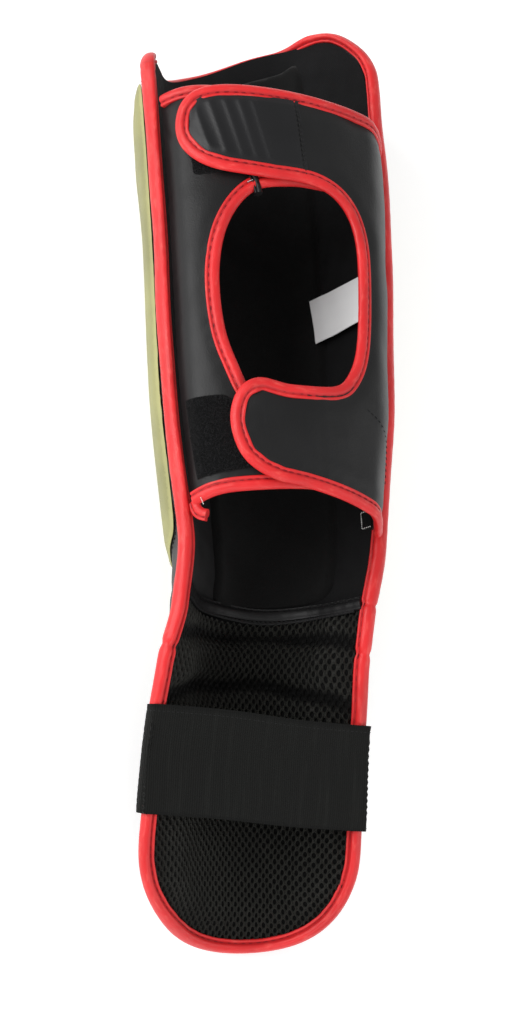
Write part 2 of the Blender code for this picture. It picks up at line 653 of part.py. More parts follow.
def build():
    """All pieces of the guard."""
    pieces = []
    margin = PIPING_WIDTH / 2 + GAP
    edge = shell_edge(PIPING_STEP)
    inner = inset(edge, margin)
    ankle = SHIN_LENGTH - 0.002
    shin_span = (-1.0, ankle)
    instep_span = (ankle + GAP, 1.0)
    skin_start = SHIN_LENGTH + ANKLE_BAND - 0.002 + 2 * GAP
    rest = lowest_rest() + REST_SINK
    pieces.append(tube("shell_piping", edge, shell, PIPING_WIDTH, PIPING_HEIGHT, RED_BINDING, closed=True))
    pieces.append(sheet("shin_pad", inner, shell, pad_back, 0.0, BLACK_COVER, span=shin_span))
    pieces.append(sheet("instep_pad", inner, shell, pad_back, 0.0, BLACK_COVER, span=instep_span))
    pieces.append(sheet("shin_lining", inner, shell, GAP, GAP + LINING, BLACK_CLOTH, span=shin_span))
    pieces.append(sheet(
        "instep_mesh", inner, shell, 2 * GAP, mesh_face, AIR_MESH, span=(skin_start, 1.0),
    ))
    panel_low = 2 * GAP + LINING
    pieces.append(sheet(
        "lining_panel", lining_panel_outline(), shell, panel_low, panel_low + PANEL_LINING, BLACK_CLOTH,
    ))
    band_half = half_width(SHIN_LENGTH) - margin - 0.001
    band = [(-band_half, ankle + GAP), (band_half, ankle + GAP)]
    band += [(band_half, skin_start - GAP), (-band_half, skin_start - GAP)]
    pieces.append(sheet("ankle_band", band, shell, GAP, ANKLE_BAND_HEIGHT, BLACK_COVER))
    rest_cuts = [((0, FRONT_PAD_START + FRONT_PAD_ROUND * k), (0, 1)) for k in REST_CUTS]
    pieces.append(sheet(
        "front_pad", front_pad_outline(), shell, front_pad_face, outside_pad, OLIVE_COVER, lines=rest_cuts,
        floor=rest,
    ))
    pieces.append(sheet(
        "instep_front_pad", instep_front_outline(), shell, instep_front_face, outside_pad, BLACK_COVER,
        floor=rest,
    ))
    for name, rows, surface, lift in (
        ("left_wrap_piping", LEFT_WRAP, wraps, WRAP_THICKNESS / 2),
        ("right_wrap_piping", RIGHT_WRAP, straps, STRAP_THICKNESS / 2),
    ):
        path = curve(on_calf(rows), BINDING_STEP)
        pieces.append(tube(
            name, path, surface, BINDING_WIDTH, BINDING_HEIGHT, RED_BINDING, sides=6, middle=lift,
        ))
    pieces.append(panel("left_wrap", LEFT_WRAP, -1, wraps, WRAP_THICKNESS, BLACK_COVER))
    pieces.append(panel("right_wrap", RIGHT_WRAP[::-1], 1, straps, STRAP_THICKNESS, BLACK_COVER))
    loop_low = WRAP_THICKNESS + GAP
    for name, rows in (("upper_loop_patch", UPPER_LOOP), ("lower_loop_patch", LOWER_LOOP)):
        pieces.append(sheet(name, on_calf(rows), wraps, loop_low, loop_low + LOOP_PATCH, LOOP_CLOTH))
    patch = panel_outline(RIGHT_WRAP[::-1], 1, BINDING_WIDTH / 2 + 4 * GAP)
    pieces.append(sheet(
        "strap_patch", patch, straps, STRAP_THICKNESS + GAP, rib_face, RIBBED, lines=ribs(),
        span=(level(0), level(1)), trim=((PATCH_END * CALF_HALF, level(0.5)), (1, -PATCH_SLANT)),
    ))
    start = SHIN_LENGTH + ELASTIC_START
    strip = [(-1, start), (1, start), (1, start + ELASTIC_WIDTH), (-1, start + ELASTIC_WIDTH)]
    pieces.append(sheet(
        "elastic_band", strip, elastic_surface, -ELASTIC_THICKNESS / 2, ELASTIC_THICKNESS / 2, ELASTIC,
        across=ELASTIC_FACET,
    ))
    label_low = panel_low + PANEL_LINING + GAP
    pieces.append(sheet(
        "care_label", label_outline(), shell, label_low, label_low + LABEL_THICKNESS, WHITE_LABEL,
    ))
    run = SHIN_LENGTH - SIZE_TAB_DROP
    across = SIZE_TAB_PLACE * half_width(run)
    half = SIZE_TAB / 2
    tab = [(across - half, run - half), (across + half, run - half), (across + half, run + half)]
    tab.append((across - half, run + half))
    pieces.append(sheet("size_tab", tab, shell, panel_low, panel_low + LABEL_THICKNESS * 2, BLACK_CLOTH))
    return pieces, rest


def lowest_rest():
    """Height of the lowest point of the olive pad before it is pressed flat."""
    d = np.linspace(-0.02, 0.02, 9)
    s = np.linspace(FRONT_PAD_START, SHIN_LENGTH, 60)
    across, run = (v.ravel() for v in np.meshgrid(d, s))
    return float(shell(across, run, front_pad_face(across, run))[:, 2].min())


def main():
    """Build the guard and set it on the floor, centred on the origin."""
    for thing in list(bpy.data.objects):
        bpy.data.objects.remove(thing, do_unlink=True)
    pieces, rest = build()
    corners = np.array([v.co for piece in pieces for v in piece.data.vertices])
    middle = (corners.min(0) + corners.max(0)) / 2
    guard = bpy.data.objects.new("guard", None)
    bpy.context.scene.collection.objects.link(guard)
    guard.location = (-middle[0], -middle[1], -rest)
    for piece in pieces:
        piece.parent = guard


main()
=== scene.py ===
"""Looks of the shin and instep guard, lying on its front with the calf side up.

The knee end points along +Y, the toe end along -Y, and +Z is up. All sizes are in metres. A place on
the padded shell is its opened-out distance across, its distance along the spine from the ends of the
side edges, and its height above the shell's middle surface, towards the leg. A place on the calf
wraps is its distance across from the crown of the calf, its distance along, and its lift outwards.
"""
import logging
from collections.abc import Callable, Sequence
from dataclasses import dataclass
from enum import Enum
from math import ceil, cos, pi, radians, sin, sqrt

import bmesh
import bpy
import numpy as np
from mathutils import Matrix, Vector
from mathutils.geometry import delaunay_2d_cdt


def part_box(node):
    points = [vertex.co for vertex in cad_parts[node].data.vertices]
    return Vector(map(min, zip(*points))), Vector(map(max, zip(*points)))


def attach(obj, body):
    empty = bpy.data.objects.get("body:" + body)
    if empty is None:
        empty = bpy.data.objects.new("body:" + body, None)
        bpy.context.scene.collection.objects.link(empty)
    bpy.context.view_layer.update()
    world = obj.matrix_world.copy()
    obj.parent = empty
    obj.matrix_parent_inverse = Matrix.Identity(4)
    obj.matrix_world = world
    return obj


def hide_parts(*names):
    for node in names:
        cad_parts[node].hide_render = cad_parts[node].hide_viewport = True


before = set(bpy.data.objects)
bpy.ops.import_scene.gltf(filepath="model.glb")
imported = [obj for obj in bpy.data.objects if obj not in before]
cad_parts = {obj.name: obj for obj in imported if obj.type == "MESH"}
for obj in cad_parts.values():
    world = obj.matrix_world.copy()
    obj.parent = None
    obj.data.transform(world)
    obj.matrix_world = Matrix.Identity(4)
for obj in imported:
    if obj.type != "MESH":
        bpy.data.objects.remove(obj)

LOG = logging.getLogger("guard")
Array = np.ndarray
Thing = bpy.types.Object
Surface = Callable[..., Array]
Height = float | Callable[[Array, Array], Array]
Colour = tuple[float, float, float]
Rows = Sequence[tuple[float, ...]]

# station as a share of the length, width, radius and flare of the side walls, sway
SHIN_ROWS: Rows = (
    (0.00, 0.99, 1.00, 31, 0.00), (0.15, 1.00, 1.00, 30, 0.00), (0.34, 0.99, 1.00, 29, 0.05),
    (0.63, 0.95, 0.98, 27, 0.28), (0.91, 0.82, 0.89, 27, 0.23),
)
INSTEP_ROWS: Rows = (
    (0.06, 1.12, 0.75, 31, 0.72), (0.20, 1.055, 0.81, 41, 1.04), (0.45, 0.99, 0.95, 56, 0.84),
    (0.79, 1.00, 1.00, 56, 0.52), (1.00, 1.01, 1.00, 56, 0.05),
)
# share of the half width, rise as a share of knee_rise
TOP_EDGE: Rows = (
    (-1.00, -0.07), (-0.90, 0.11), (-0.65, 0.25), (-0.40, 0.36), (-0.13, 0.61), (0.20, 0.91),
    (0.45, 0.98), (0.62, 1.00), (0.78, 0.90), (0.91, 0.65), (0.98, 0.40), (1.00, 0.15),
)
# share of the shin's length, share of calf_crown
CROWN_ROWS: Rows = ((0.0, 1.0), (0.6, 1.0), (1.0, 0.85))
# share of the instep's length, share of the air mesh's full height
MESH_ROWS: Rows = (
    (0.02, 0.20), (0.06, 0.50), (0.10, 0.12), (0.155, 0.85), (0.205, 0.90), (0.25, 0.10),
    (0.31, 0.85), (0.50, 1.0), (0.90, 1.0), (1.0, 0.9),
)
# share of the way to the side edge, level along the calf
RIGHT_WRAP: Rows = (
    (0.93, 0.00), (0.66, -0.03), (0.30, -0.07), (-0.15, -0.10), (-0.57, -0.12), (-0.73, 0.01),
    (-0.78, 0.32), (-0.73, 0.61), (-0.57, 0.82), (-0.25, 0.92), (0.12, 0.97), (0.34, 1.07),
    (0.45, 1.23), (0.47, 1.50), (0.44, 1.74), (0.35, 1.89), (0.20, 1.97), (-0.14, 1.985),
    (-0.37, 1.96), (-0.49, 2.03), (-0.53, 2.32), (-0.46, 2.66), (-0.28, 2.86), (0.00, 2.95),
    (0.48, 3.07), (0.89, 3.20),
)
LEFT_WRAP: Rows = (
    (-0.93, -0.19), (-0.70, -0.21), (-0.40, -0.13), (-0.05, 0.09), (0.30, 0.17), (0.38, 0.35),
    (0.38, 0.74), (0.27, 0.91), (-0.05, 0.94), (-0.35, 1.02), (-0.555, 1.18), (-0.65, 1.41),
    (-0.625, 1.68), (-0.54, 1.87), (-0.43, 2.02), (-0.20, 2.28), (0.10, 2.36), (0.32, 2.40),
    (0.38, 2.60), (0.30, 2.88), (0.00, 2.91), (-0.45, 2.95), (-0.70, 2.98), (-0.91, 3.04),
)
UPPER_LOOP: Rows = (
    (-0.74, 0.09), (-0.10, 0.29), (0.20, 0.42), (0.20, 0.72), (-0.08, 0.77), (-0.34, 0.86),
    (-0.74, 0.92),
)
LOWER_LOOP: Rows = (
    (-0.89, 1.985), (-0.60, 1.99), (-0.44, 2.19), (-0.20, 2.45), (0.10, 2.54), (0.10, 2.74),
    (-0.45, 2.80), (-0.85, 2.86),
)
# half outline of the olive pad: share of its half width, share of its length
FRONT_PAD_ROWS: Rows = (
    (0.60, 0.0), (0.88, 0.015), (0.98, 0.06), (1.0, 0.5), (0.98, 0.90), (0.82, 0.97), (0.40, 1.0),
)
# short lines on the calf: joint of the left binding, its curled lower end, sewn line, loose threads
JOINT_LINE: Rows = ((-0.335, 0.93), (-0.315, 0.99), (-0.295, 1.06))
CURLED_LINE: Rows = ((-0.925, 3.06), (-0.905, 3.15), (-0.865, 3.21), (-0.815, 3.24))
STRAP_SEAM: Rows = ((0.47, 2.05), (0.62, 2.16), (0.78, 2.34), (0.92, 2.62))
LOOSE_THREADS: dict[str, Rows] = {
    "joint_thread": ((-0.375, 1.015), (-0.345, 1.005)), "end_thread": ((-0.83, 3.07), (-0.815, 3.14)),
}
# creases of each wrap: share across, level, turn in degrees, half length, height
CREASES: dict[str, Rows] = {
    "left_wrap": ((-0.90, 0.28, 62, 0.010, -0.0007), (-0.86, 0.34, 58, 0.008, 0.0004)),
    "right_wrap": (
        (0.02, 2.50, 82, 0.020, 0.00022), (0.12, 2.62, 84, 0.024, 0.00022),
        (0.30, 2.50, 78, 0.020, 0.00020),
    ),
}
# length of a sewn line's stitch as a share of its pitch, height as a share of its width, unevenness
SEWN_STITCH = (0.72, 0.8, 0.08)
# how far aside a surface is read to find its directions
PROBE = 0.001
# spacing of points along the bindings, along short tapes, and round the edge where a cut follows it
TAPE_STEP = 0.0009
SHORT_STEP = 0.0006
EDGE_STEP = 0.004
# half section of a folded tape: across from its outer edge (-1) to its inner one (1), height
FOLDED_TAPE: Rows = (
    (1.00, 0.30), (0.99, 0.62), (0.90, 0.73), (0.74, 0.76), (0.62, 0.70), (0.54, 0.60),
    (0.46, 0.60), (0.38, 0.72), (0.26, 0.88), (0.08, 0.98), (-0.14, 1.00), (-0.38, 0.95),
    (-0.62, 0.80), (-0.82, 0.57), (-0.95, 0.30), (-1.00, 0.05),
)
ROLLED_BAND: Rows = (
    (1.00, 0.05), (0.97, 0.45), (0.86, 0.62), (0.76, 0.60), (0.66, 0.50), (0.56, 0.62),
    (0.36, 0.90), (0.10, 1.00), (-0.16, 0.99), (-0.42, 0.88), (-0.62, 0.70), (-0.78, 0.48),
    (-0.90, 0.50), (-1.00, 0.10),
)


def monotone(rows: Rows, x: Array) -> Array:
    """Smooth curve through a table that never overshoots its points.

    Args:
        rows: The table, as (place, value).
        x: Places to read it at.

    Returns:
        The values there.
    """
    xs, ys = np.array(rows, float).T[:2]
    step = np.diff(xs)
    rise = np.diff(ys) / step
    slope = np.zeros_like(ys)
    slope[0], slope[-1] = rise[0], rise[-1]
    for i in range(1, len(xs) - 1):
        if rise[i - 1] * rise[i] > 0:
            a, b = 2 * step[i] + step[i - 1], step[i] + 2 * step[i - 1]
            slope[i] = (a + b) / (a / rise[i - 1] + b / rise[i])
    x = np.clip(x, xs[0], xs[-1])
    i = np.clip(np.searchsorted(xs, x, side="right") - 1, 0, len(xs) - 2)
    t = (x - xs[i]) / step[i]
    left = (1 + 2 * t) * (1 - t) ** 2 * ys[i] + t * (1 - t) ** 2 * step[i] * slope[i]
    return left + t * t * (3 - 2 * t) * ys[i + 1] + t * t * (t - 1) * step[i] * slope[i + 1]


def smooth(start: float, end: float, x: Array) -> Array:
    """Smooth step from 0 at start to 1 at end."""
    t = np.clip((np.asarray(x, float) - start) / (end - start), 0, 1)
    return t * t * (3 - 2 * t)


def ripple(x: Array, y: Array, size: float, seed: int, terms: int = 7) -> Array:
    """Soft random waves of about -1 to 1, the same on each run.

    Args:
        x: First coordinate.
        y: Second coordinate.
        size: Usual length of a wave.
        seed: Which set of waves.
        terms: How many waves are added.

    Returns:
        The height of the waves at each place.
    """
    rng = np.random.default_rng(seed)
    total = np.zeros(np.broadcast(x, y).shape)
    for _ in range(terms):
        turn, phase, stretch = rng.uniform(0, 2 * pi), rng.uniform(0, 2 * pi), rng.uniform(0.7, 1.6)
        total += np.sin((x * cos(turn) + y * sin(turn)) * 2 * pi / (size * stretch) + phase)
    return total / sqrt(terms)


def unit(vectors: Array) -> Array:
    """Vectors made one long."""
    return vectors / np.linalg.norm(vectors, axis=-1, keepdims=True)


def lengths(path: Array) -> Array:
    """Length of each step of a path."""
    return np.linalg.norm(np.diff(path, axis=0), axis=1)


def resample(fine: Array, spacing: float, closed: bool = False) -> Array:
    """Points at even spacing along a fine path.

    Args:
        fine: Points of the path.
        spacing: Distance from point to point.
        closed: Whether the path returns to its start.

    Returns:
        The points.
    """
    run = np.concatenate([[0], np.cumsum(lengths(fine))])
    at = np.linspace(0, run[-1], max(3, ceil(run[-1] / spacing)) + 1)
    at = at[:-1] if closed else at
    return np.stack([np.interp(at, run, fine[:, i]) for i in range(fine.shape[1])], 1)


def ring(outline: Array, spacing: float) -> Array:
    """Points at even spacing round a closed outline."""
    return resample(np.vstack([outline, outline[:1]]), spacing, closed=True)


def curve(points: Sequence, spacing: float, closed: bool = False) -> Array:
    """Smooth curve through points.

    Args:
        points: The points it passes.
        spacing: Distance between the points of the result.
        closed: Whether it returns to its start.

    Returns:
        Points at even spacing on it.
    """
    pts = np.array(points, float)
    if closed:
        guide = np.vstack([pts[-1], pts, pts[0], pts[1]])
    else:
        guide = np.vstack([2 * pts[0] - pts[1], pts, 2 * pts[-1] - pts[-2]])
    fine = []
    for a, b, c, d in zip(guide, guide[1:], guide[2:], guide[3:]):
        for t in np.linspace(0, 1, 12, endpoint=False):
            bend = (2 * a - 5 * b + 4 * c - d) * t * t + (3 * b - a - 3 * c + d) * t ** 3
            fine.append((2 * b + (c - a) * t + bend) / 2)
    fine.append(guide[-2])
    return resample(np.array(fine), spacing, closed)


def inset(points: Array, distance: Array | float, closed: bool = True) -> Array:
    """Points moved to the left of their path's direction.

    Args:
        points: Points of the path.
        distance: How far each one moves.
        closed: Whether the path returns to its start.

    Returns:
        The moved points.
    """
    if closed:
        before, after = np.roll(points, 1, 0), np.roll(points, -1, 0)
    else:
        before, after = np.vstack([points[:1], points[:-1]]), np.vstack([points[1:], points[-1:]])
    run = unit(after - before)
    return points + distance * np.stack([-run[:, 1], run[:, 0]], 1)


def trimmed(outline: Array, axis: int, limit: float, above: bool) -> Array:
    """Part of an outline on one side of a line.

    Args:
        outline: Corners of a closed outline.
        axis: 0 for a limit across, 1 for a limit along.
        limit: Where the line lies.
        above: Whether the part above the limit is kept.

    Returns:
        Corners of what is left.
    """
    side = (outline[:, axis] - limit) * (1 if above else -1)
    kept = []
    for here, there, a, b in zip(outline, np.roll(outline, -1, 0), side, np.roll(side, -1)):
        if a >= 0:
            kept.append(here)
        if a * b < 0:
            kept.append(here + (there - here) * a / (a - b))
    return np.array(kept)


def to_outline(points: Array, outline: Array) -> tuple[Array, Array]:
    """Distance of points to an outline, and whether they lie inside it.

    Args:
        points: Flat points.
        outline: Corners of a closed outline.

    Returns:
        The distances, and true for each point inside.
    """
    near = np.full(len(points), np.inf)
    inside = np.zeros(len(points), bool)
    x, y = points.T
    for a, b in zip(outline, np.roll(outline, -1, 0)):
        run = b - a
        length = float(run @ run)
        if length == 0:
            continue
        t = np.clip(((x - a[0]) * run[0] + (y - a[1]) * run[1]) / length, 0, 1)
        near = np.minimum(near, np.hypot(x - a[0] - t * run[0], y - a[1] - t * run[1]))
        if a[1] != b[1]:
            across = a[0] + (y - a[1]) / (b[1] - a[1]) * run[0]
            inside ^= ((a[1] > y) != (b[1] > y)) & (x < across)
    return near, inside


@dataclass
class Form:
    """Shape of the guard, from the same sizes as its CAD."""

    shin_length: float = 0.268
    instep_length: float = 0.159
    knee_rise: float = 0.046
    toe_depth: float = 0.049
    shin_half_width: float = 0.090
    instep_half_width: float = 0.061
    shin_radius: float = 0.050
    instep_radius: float = 0.057
    ankle_sway: float = 0.0095
    shin_slope: float = radians(5.0)
    instep_slope: float = radians(15.6)
    bend_length: float = 0.073
    pad: float = 0.008
    pad_edge: float = 0.0032
    pad_taper: float = 0.022
    mesh_edge: float = 0.0018
    mesh_swell: float = 0.0052
    calf_crown: float = 0.027
    calf_half: float = 0.0735
    wrap_start: float = 0.033
    upper_strap: float = 0.041
    window: float = 0.112
    lower_strap: float = 0.043
    wrap_tuck: float = 0.0038
    strap_rise: float = 0.0055
    strap_ramp: tuple[float, float] = (0.55, 0.88)
    tab: float = 0.009
    tab_place: tuple[float, float] = (0.885, 0.040)
    tab_heights: tuple[float, float] = (0.0025, 0.0035)

    def __post_init__(self) -> None:
        """Work out the tables along the spine."""
        shin, instep = np.array(SHIN_ROWS, float), np.array(INSTEP_ROWS, float)
        self.total = self.shin_length + self.instep_length
        at = [shin[:, 0] * self.shin_length, instep[:, 0] * self.instep_length + self.shin_length]
        at = np.concatenate(at)
        widths = np.concatenate([shin[:, 1] * self.shin_half_width, instep[:, 1] * self.instep_half_width])
        radii = np.concatenate([shin[:, 2] * self.shin_radius, instep[:, 2] * self.instep_radius])
        both = np.vstack([shin, instep])
        self.width_rows = np.stack([at, widths], 1)
        self.radius_rows = np.stack([at, radii], 1)
        self.flare_rows = np.stack([at, np.radians(both[:, 3])], 1)
        self.sway_rows = np.stack([at, -both[:, 4] * self.ankle_sway], 1)
        s = np.linspace(-1.2 * self.knee_rise, self.total, 600)
        bend = smooth(self.shin_length, self.shin_length + self.bend_length, s)
        slope = self.shin_slope - bend * (self.shin_slope + self.instep_slope)
        middle = (slope[1:] + slope[:-1]) / 2
        y = np.concatenate([[0], np.cumsum(-np.cos(middle) * np.diff(s))])
        z = np.concatenate([[0], np.cumsum(np.sin(middle) * np.diff(s))])
        self.spine = (s, y, z, slope)
        self.origin = np.zeros(3)
        self.origin = np.mean(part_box("size_tab"), axis=0) - self.tab_middle()

    def tab_middle(self) -> Array:
        """Middle of the size tab's box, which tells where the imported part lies.

        Returns:
            The middle, in the world.
        """
        run = self.shin_length - self.tab_place[1]
        across = self.tab_place[0] * self.half_width(run)
        near = np.array([(i, j, k) for i in (-0.5, 0.5) for j in (-0.5, 0.5) for k in self.tab_heights])
        corners = self.shell(across + near[:, 0] * self.tab, run + near[:, 1] * self.tab, near[:, 2])
        return (corners.min(0) + corners.max(0)) / 2

    def half_width(self, s: Array) -> Array:
        """Half of the shell's opened-out width at a distance along."""
        return monotone(self.width_rows, s)

    def sway(self, s: Array) -> Array:
        """How far the middle lies from the shin's line at a distance along."""
        return monotone(self.sway_rows, s)

    def place(self, s: Array, x: Array, up: Array) -> Array:
        """World place of a point in the cross-section at s."""
        y0, z0, slope = (np.interp(s, self.spine[0], column) for column in self.spine[1:])
        return np.stack([x, y0 + up * np.sin(slope), z0 + up * np.cos(slope)], -1) + self.origin

    def section(self, d: Array, s: Array, h: Array) -> tuple[Array, Array]:
        """Cross-section place: a round front with straight side walls.

        Args:
            d: Distances across.
            s: Distances along.
            h: Heights above it.

        Returns:
            Places across and up.
        """
        radius = monotone(self.radius_rows, s)
        arc = pi / 2 - monotone(self.flare_rows, s)
        turn = np.minimum(np.abs(d) / radius, arc)
        wall = np.maximum(np.abs(d) - radius * arc, 0)
        x = radius * np.sin(turn) + wall * np.cos(turn) - h * np.sin(turn)
        up = radius * (1 - np.cos(turn)) + wall * np.sin(turn) + h * np.cos(turn)
        return np.where(d < 0, -1, 1) * x + self.sway(s), up

    def shell(self, d: Array, s: Array, h: Array = 0.0) -> Array:
        """World place on the shell, h above its middle surface.

        Args:
            d: Distances across.
            s: Distances along.
            h: Heights above it.

        Returns:
            The world places.
        """
        d, s, h = np.broadcast_arrays(*(np.asarray(v, float) for v in (d, s, h)))
        x, up = self.section(d, s, h)
        return self.place(s, x, up)

    def wraps(self, x: Array, s: Array, lift: Array = 0.0) -> Array:
        """World place on the calf, lift outside the left wrap's underside.

        Args:
            x: Distances across.
            s: Distances along.
            lift: Heights outside the left wrap's underside.

        Returns:
            The world places.
        """
        x, s, lift = (np.atleast_1d(v).astype(float) for v in np.broadcast_arrays(x, s, lift))
        middle = self.sway(s)
        edge, base = self.section(self.half_width(s), s, 0.0)
        edge = edge - middle - self.wrap_tuck
        crown = self.calf_crown * monotone(CROWN_ROWS, s / self.shin_length)
        angle = np.linspace(0, pi, 49)
        run_x, run_up = -edge[:, None] * np.cos(angle), crown[:, None] * np.sin(angle)
        steps = np.hypot(np.diff(run_x), np.diff(run_up))
        run = np.concatenate([np.zeros((len(s), 1)), np.cumsum(steps, 1)], 1)
        share = (x / self.calf_half + 1) / 2
        t = np.array([np.interp(a * row[-1], row, angle) for a, row in zip(share, run)])
        nx, nz = -crown * np.cos(t), edge * np.sin(t)
        size = np.hypot(nx, nz)
        across = middle - edge * np.cos(t) + lift * nx / size
        return self.place(s, across, base + crown * np.sin(t) + lift * nz / size)

    def straps(self, x: Array, s: Array, lift: Array = 0.0) -> Array:
        """World place on the right wrap, which passes over the left one."""
        ramp = smooth(*self.strap_ramp, np.asarray(x) / self.calf_half)
        return self.wraps(x, s, self.strap_rise * (1 - ramp) + lift)

    def level(self, value: float) -> float:
        """Distance along of a level on the calf: 1 is below the upper strap, 2 below the window.

        Args:
            value: The level.

        Returns:
            The distance along.
        """
        whole = (self.upper_strap, self.window, self.lower_strap)
        parts = sum(size * min(max(value - i, 0), 1) for i, size in enumerate(whole))
        beyond = self.upper_strap * min(value, 0) + self.lower_strap * max(value - 3, 0)
        return self.wrap_start + parts + beyond

    def on_calf(self, rows: Rows) -> Array:
        """Points (across, along) of a table of shares and levels."""
        return np.array([(u * self.calf_half, self.level(v)) for u, v in rows])

    def top(self, share: Array) -> Array:
        """Distance along of the top edge at a share of the half width."""
        return -monotone(TOP_EDGE, share) * self.knee_rise

    def edge(self, spacing: float) -> Array:
        """Middle of the binding round the whole shell, anticlockwise in (across, along).

        Args:
            spacing: Distance from point to point.

        Returns:
            Points (across, along).
        """
        top = [(u * self.half_width(0.0), -rise * self.knee_rise) for u, rise in TOP_EDGE]
        start = self.total - self.toe_depth
        side = np.linspace(0.0, start, 24)[1:]
        wide = self.half_width(start)
        toe = [(wide * cos(a), start + self.toe_depth * sin(a)) for a in np.linspace(0, pi, 16)[1:-1]]
        right = [(self.half_width(s), s) for s in side]
        left = [(-self.half_width(s), s) for s in side[::-1]]
        return curve(top + right + toe + left, spacing, closed=True)

    def edge_share(self, d: Array, s: Array) -> Array:
        """0 at the shell's edge, 1 where the foam has its full thickness.

        Args:
            d: Distances across.
            s: Distances along.

        Returns:
            The shares.
        """
        start = self.total - self.toe_depth
        across = np.clip(np.abs(d) / self.half_width(start), 0, 1)
        toe = start + self.toe_depth * np.sqrt(1 - across ** 2) - s
        top = s - self.top(d / self.half_width(0.0))
        near = np.minimum(np.minimum(self.half_width(s) - np.abs(d), top), toe)
        return smooth(0, self.pad_taper, near)

    def back(self, d: Array, s: Array) -> Array:
        """Height of the foam's outer face, which is thinner at the edge."""
        return -(self.pad_edge + (self.pad - self.pad_edge) * self.edge_share(d, s))

    def mesh_face(self, d: Array, s: Array) -> Array:
        """Inner face of the padded air mesh, swollen between its creases."""
        return self.mesh_edge + self.mesh_swell * self.swell(d, s) * self.edge_share(d, s)

    def swell(self, d: Array, s: Array) -> Array:
        """Share of the air mesh's full height: low in its two cross creases.

        Args:
            d: Distances across.
            s: Distances along.

        Returns:
            The shares.
        """
        slack = 0.0012 * np.sin(d / 0.019 + 1.1) + 0.0006 * np.sin(d / 0.0065)
        side = (d / self.half_width(s)) ** 2
        share = (s + slack - self.shin_length) / self.instep_length + 0.030 - 0.050 * side
        swell = monotone(MESH_ROWS, share)
        return np.clip(swell + 0.06 * ripple(d, s, 0.035, 5) * smooth(0.3, 0.6, swell), 0, 1.1)


@dataclass
class Elastic:
    """Run of the wide elastic round the instep, from its left sewn end to its right one."""

    form: Form
    start: float = 0.0490
    width: float = 0.0480
    slant: float = 0.0016
    thickness: float = 0.0013
    wrap: float = 0.60
    gap: float = 0.0003
    piping: tuple[float, float] = (0.0056, 0.0070)
    turns: tuple[float, ...] = (-90, -55, -20, 15, 55)
    columns: int = 240
    rows: int = 6

    def __post_init__(self) -> None:
        """Work out its cross-section at several places along."""
        self.at = self.form.shin_length + self.start + np.linspace(0, self.width, self.rows + 1)
        self.runs = np.stack([self.cross_section(float(s)) for s in self.at])
        self.length = float(lengths(self.runs[self.rows // 2]).sum())
        self.slopes = unit(np.gradient(self.runs, axis=1))

    def cross_section(self, s: float) -> Array:
        """Points (across, up) of its middle, from left to right.

        Args:
            s: Distance along the guard.

        Returns:
            The points.
        """
        form = self.form
        half = float(form.half_width(s))
        clear = self.gap + self.thickness / 2
        outer = -form.pad - clear
        wide, high = (size / 2 + clear + self.gap for size in self.piping)
        rows = [(self.wrap * half, outer), ((1 + self.wrap) / 2 * half, outer)]
        rows += [(half + wide * cos(a), high * sin(a)) for a in np.radians(self.turns)]
        right = np.array([form.section(np.float64(d), s, k) for d, k in rows])
        middle = float(form.sway(s))
        left = right * (-1, 1) + (2 * middle, 0)
        crown = [(middle, right[-1][1] + 0.0015)]
        run = curve(np.vstack([left, crown, right[::-1]]), 0.001)
        return resample(run, lengths(run).sum() / self.columns)[:self.columns + 1]

    def surface(self, u: Array, s: Array, h: Array = 0.0) -> Array:
        """World place at a share u (-1 to 1) of its run.

        Args:
            u: Shares of its run, from -1 to 1.
            s: Distances along.
            h: Heights above its middle.

        Returns:
            The world places.
        """
        u, s, h = (np.atleast_1d(v).astype(float) for v in np.broadcast_arrays(u, s, h))
        column = np.clip((u + 1) / 2, 0, 1) * self.columns
        i = np.minimum(column.astype(int), self.columns - 1)
        row = np.clip((s - self.at[0]) / (self.at[1] - self.at[0]), 0, self.rows)
        j = np.minimum(row.astype(int), self.rows - 1)
        a, b = (column - i)[:, None], (row - j)[:, None]
        runs = self.runs
        near = runs[j, i] * (1 - a) + runs[j, i + 1] * a
        spot = near * (1 - b) + (runs[j + 1, i] * (1 - a) + runs[j + 1, i + 1] * a) * b
        slope = self.slopes[j, i] * (1 - a) + self.slopes[j, i + 1] * a
        return self.form.place(s, spot[:, 0] - h * slope[:, 1], spot[:, 1] + h * slope[:, 0])


@dataclass
class Cut:
    """Flat cut of a sheet, in triangles of even size."""

    points: Array
    triangles: Array
    rim: Array
    margin: Array

    @classmethod
    def of(cls, outline: Array, step: float) -> "Cut":
        """Fill an outline with triangles.

        Args:
            outline: Corners of the closed outline.
            step: Length of a triangle's side.

        Returns:
            The cut, with the distance of each of its points to the rim.
        """
        rim = ring(outline, step)
        low, high = rim.min(0), rim.max(0)
        rows = np.arange(low[1] + step / 2, high[1], step * 0.866)
        columns = np.arange(low[0] - step, high[0] + step, step)
        grid = np.vstack([
            np.stack([columns + step / 2 * (k % 2), np.full(len(columns), y)], 1) for k, y in enumerate(rows)
        ])
        near, inside = to_outline(grid, rim)
        grid = grid[inside & (near > step * 0.55)]
        count = len(rim)
        verts = [Vector(p) for p in np.vstack([rim, grid])]
        edges = [(i, (i + 1) % count) for i in range(count)]
        made, _, faces, origin, _, _ = delaunay_2d_cdt(verts, edges, [], 1, 1e-8)
        index = {old: new for new, olds in enumerate(origin) for old in olds}
        points = np.array([v[:] for v in made])
        margin, _ = to_outline(points, rim)
        return cls(points, np.array(faces), np.array([index[i] for i in range(count)]), margin)


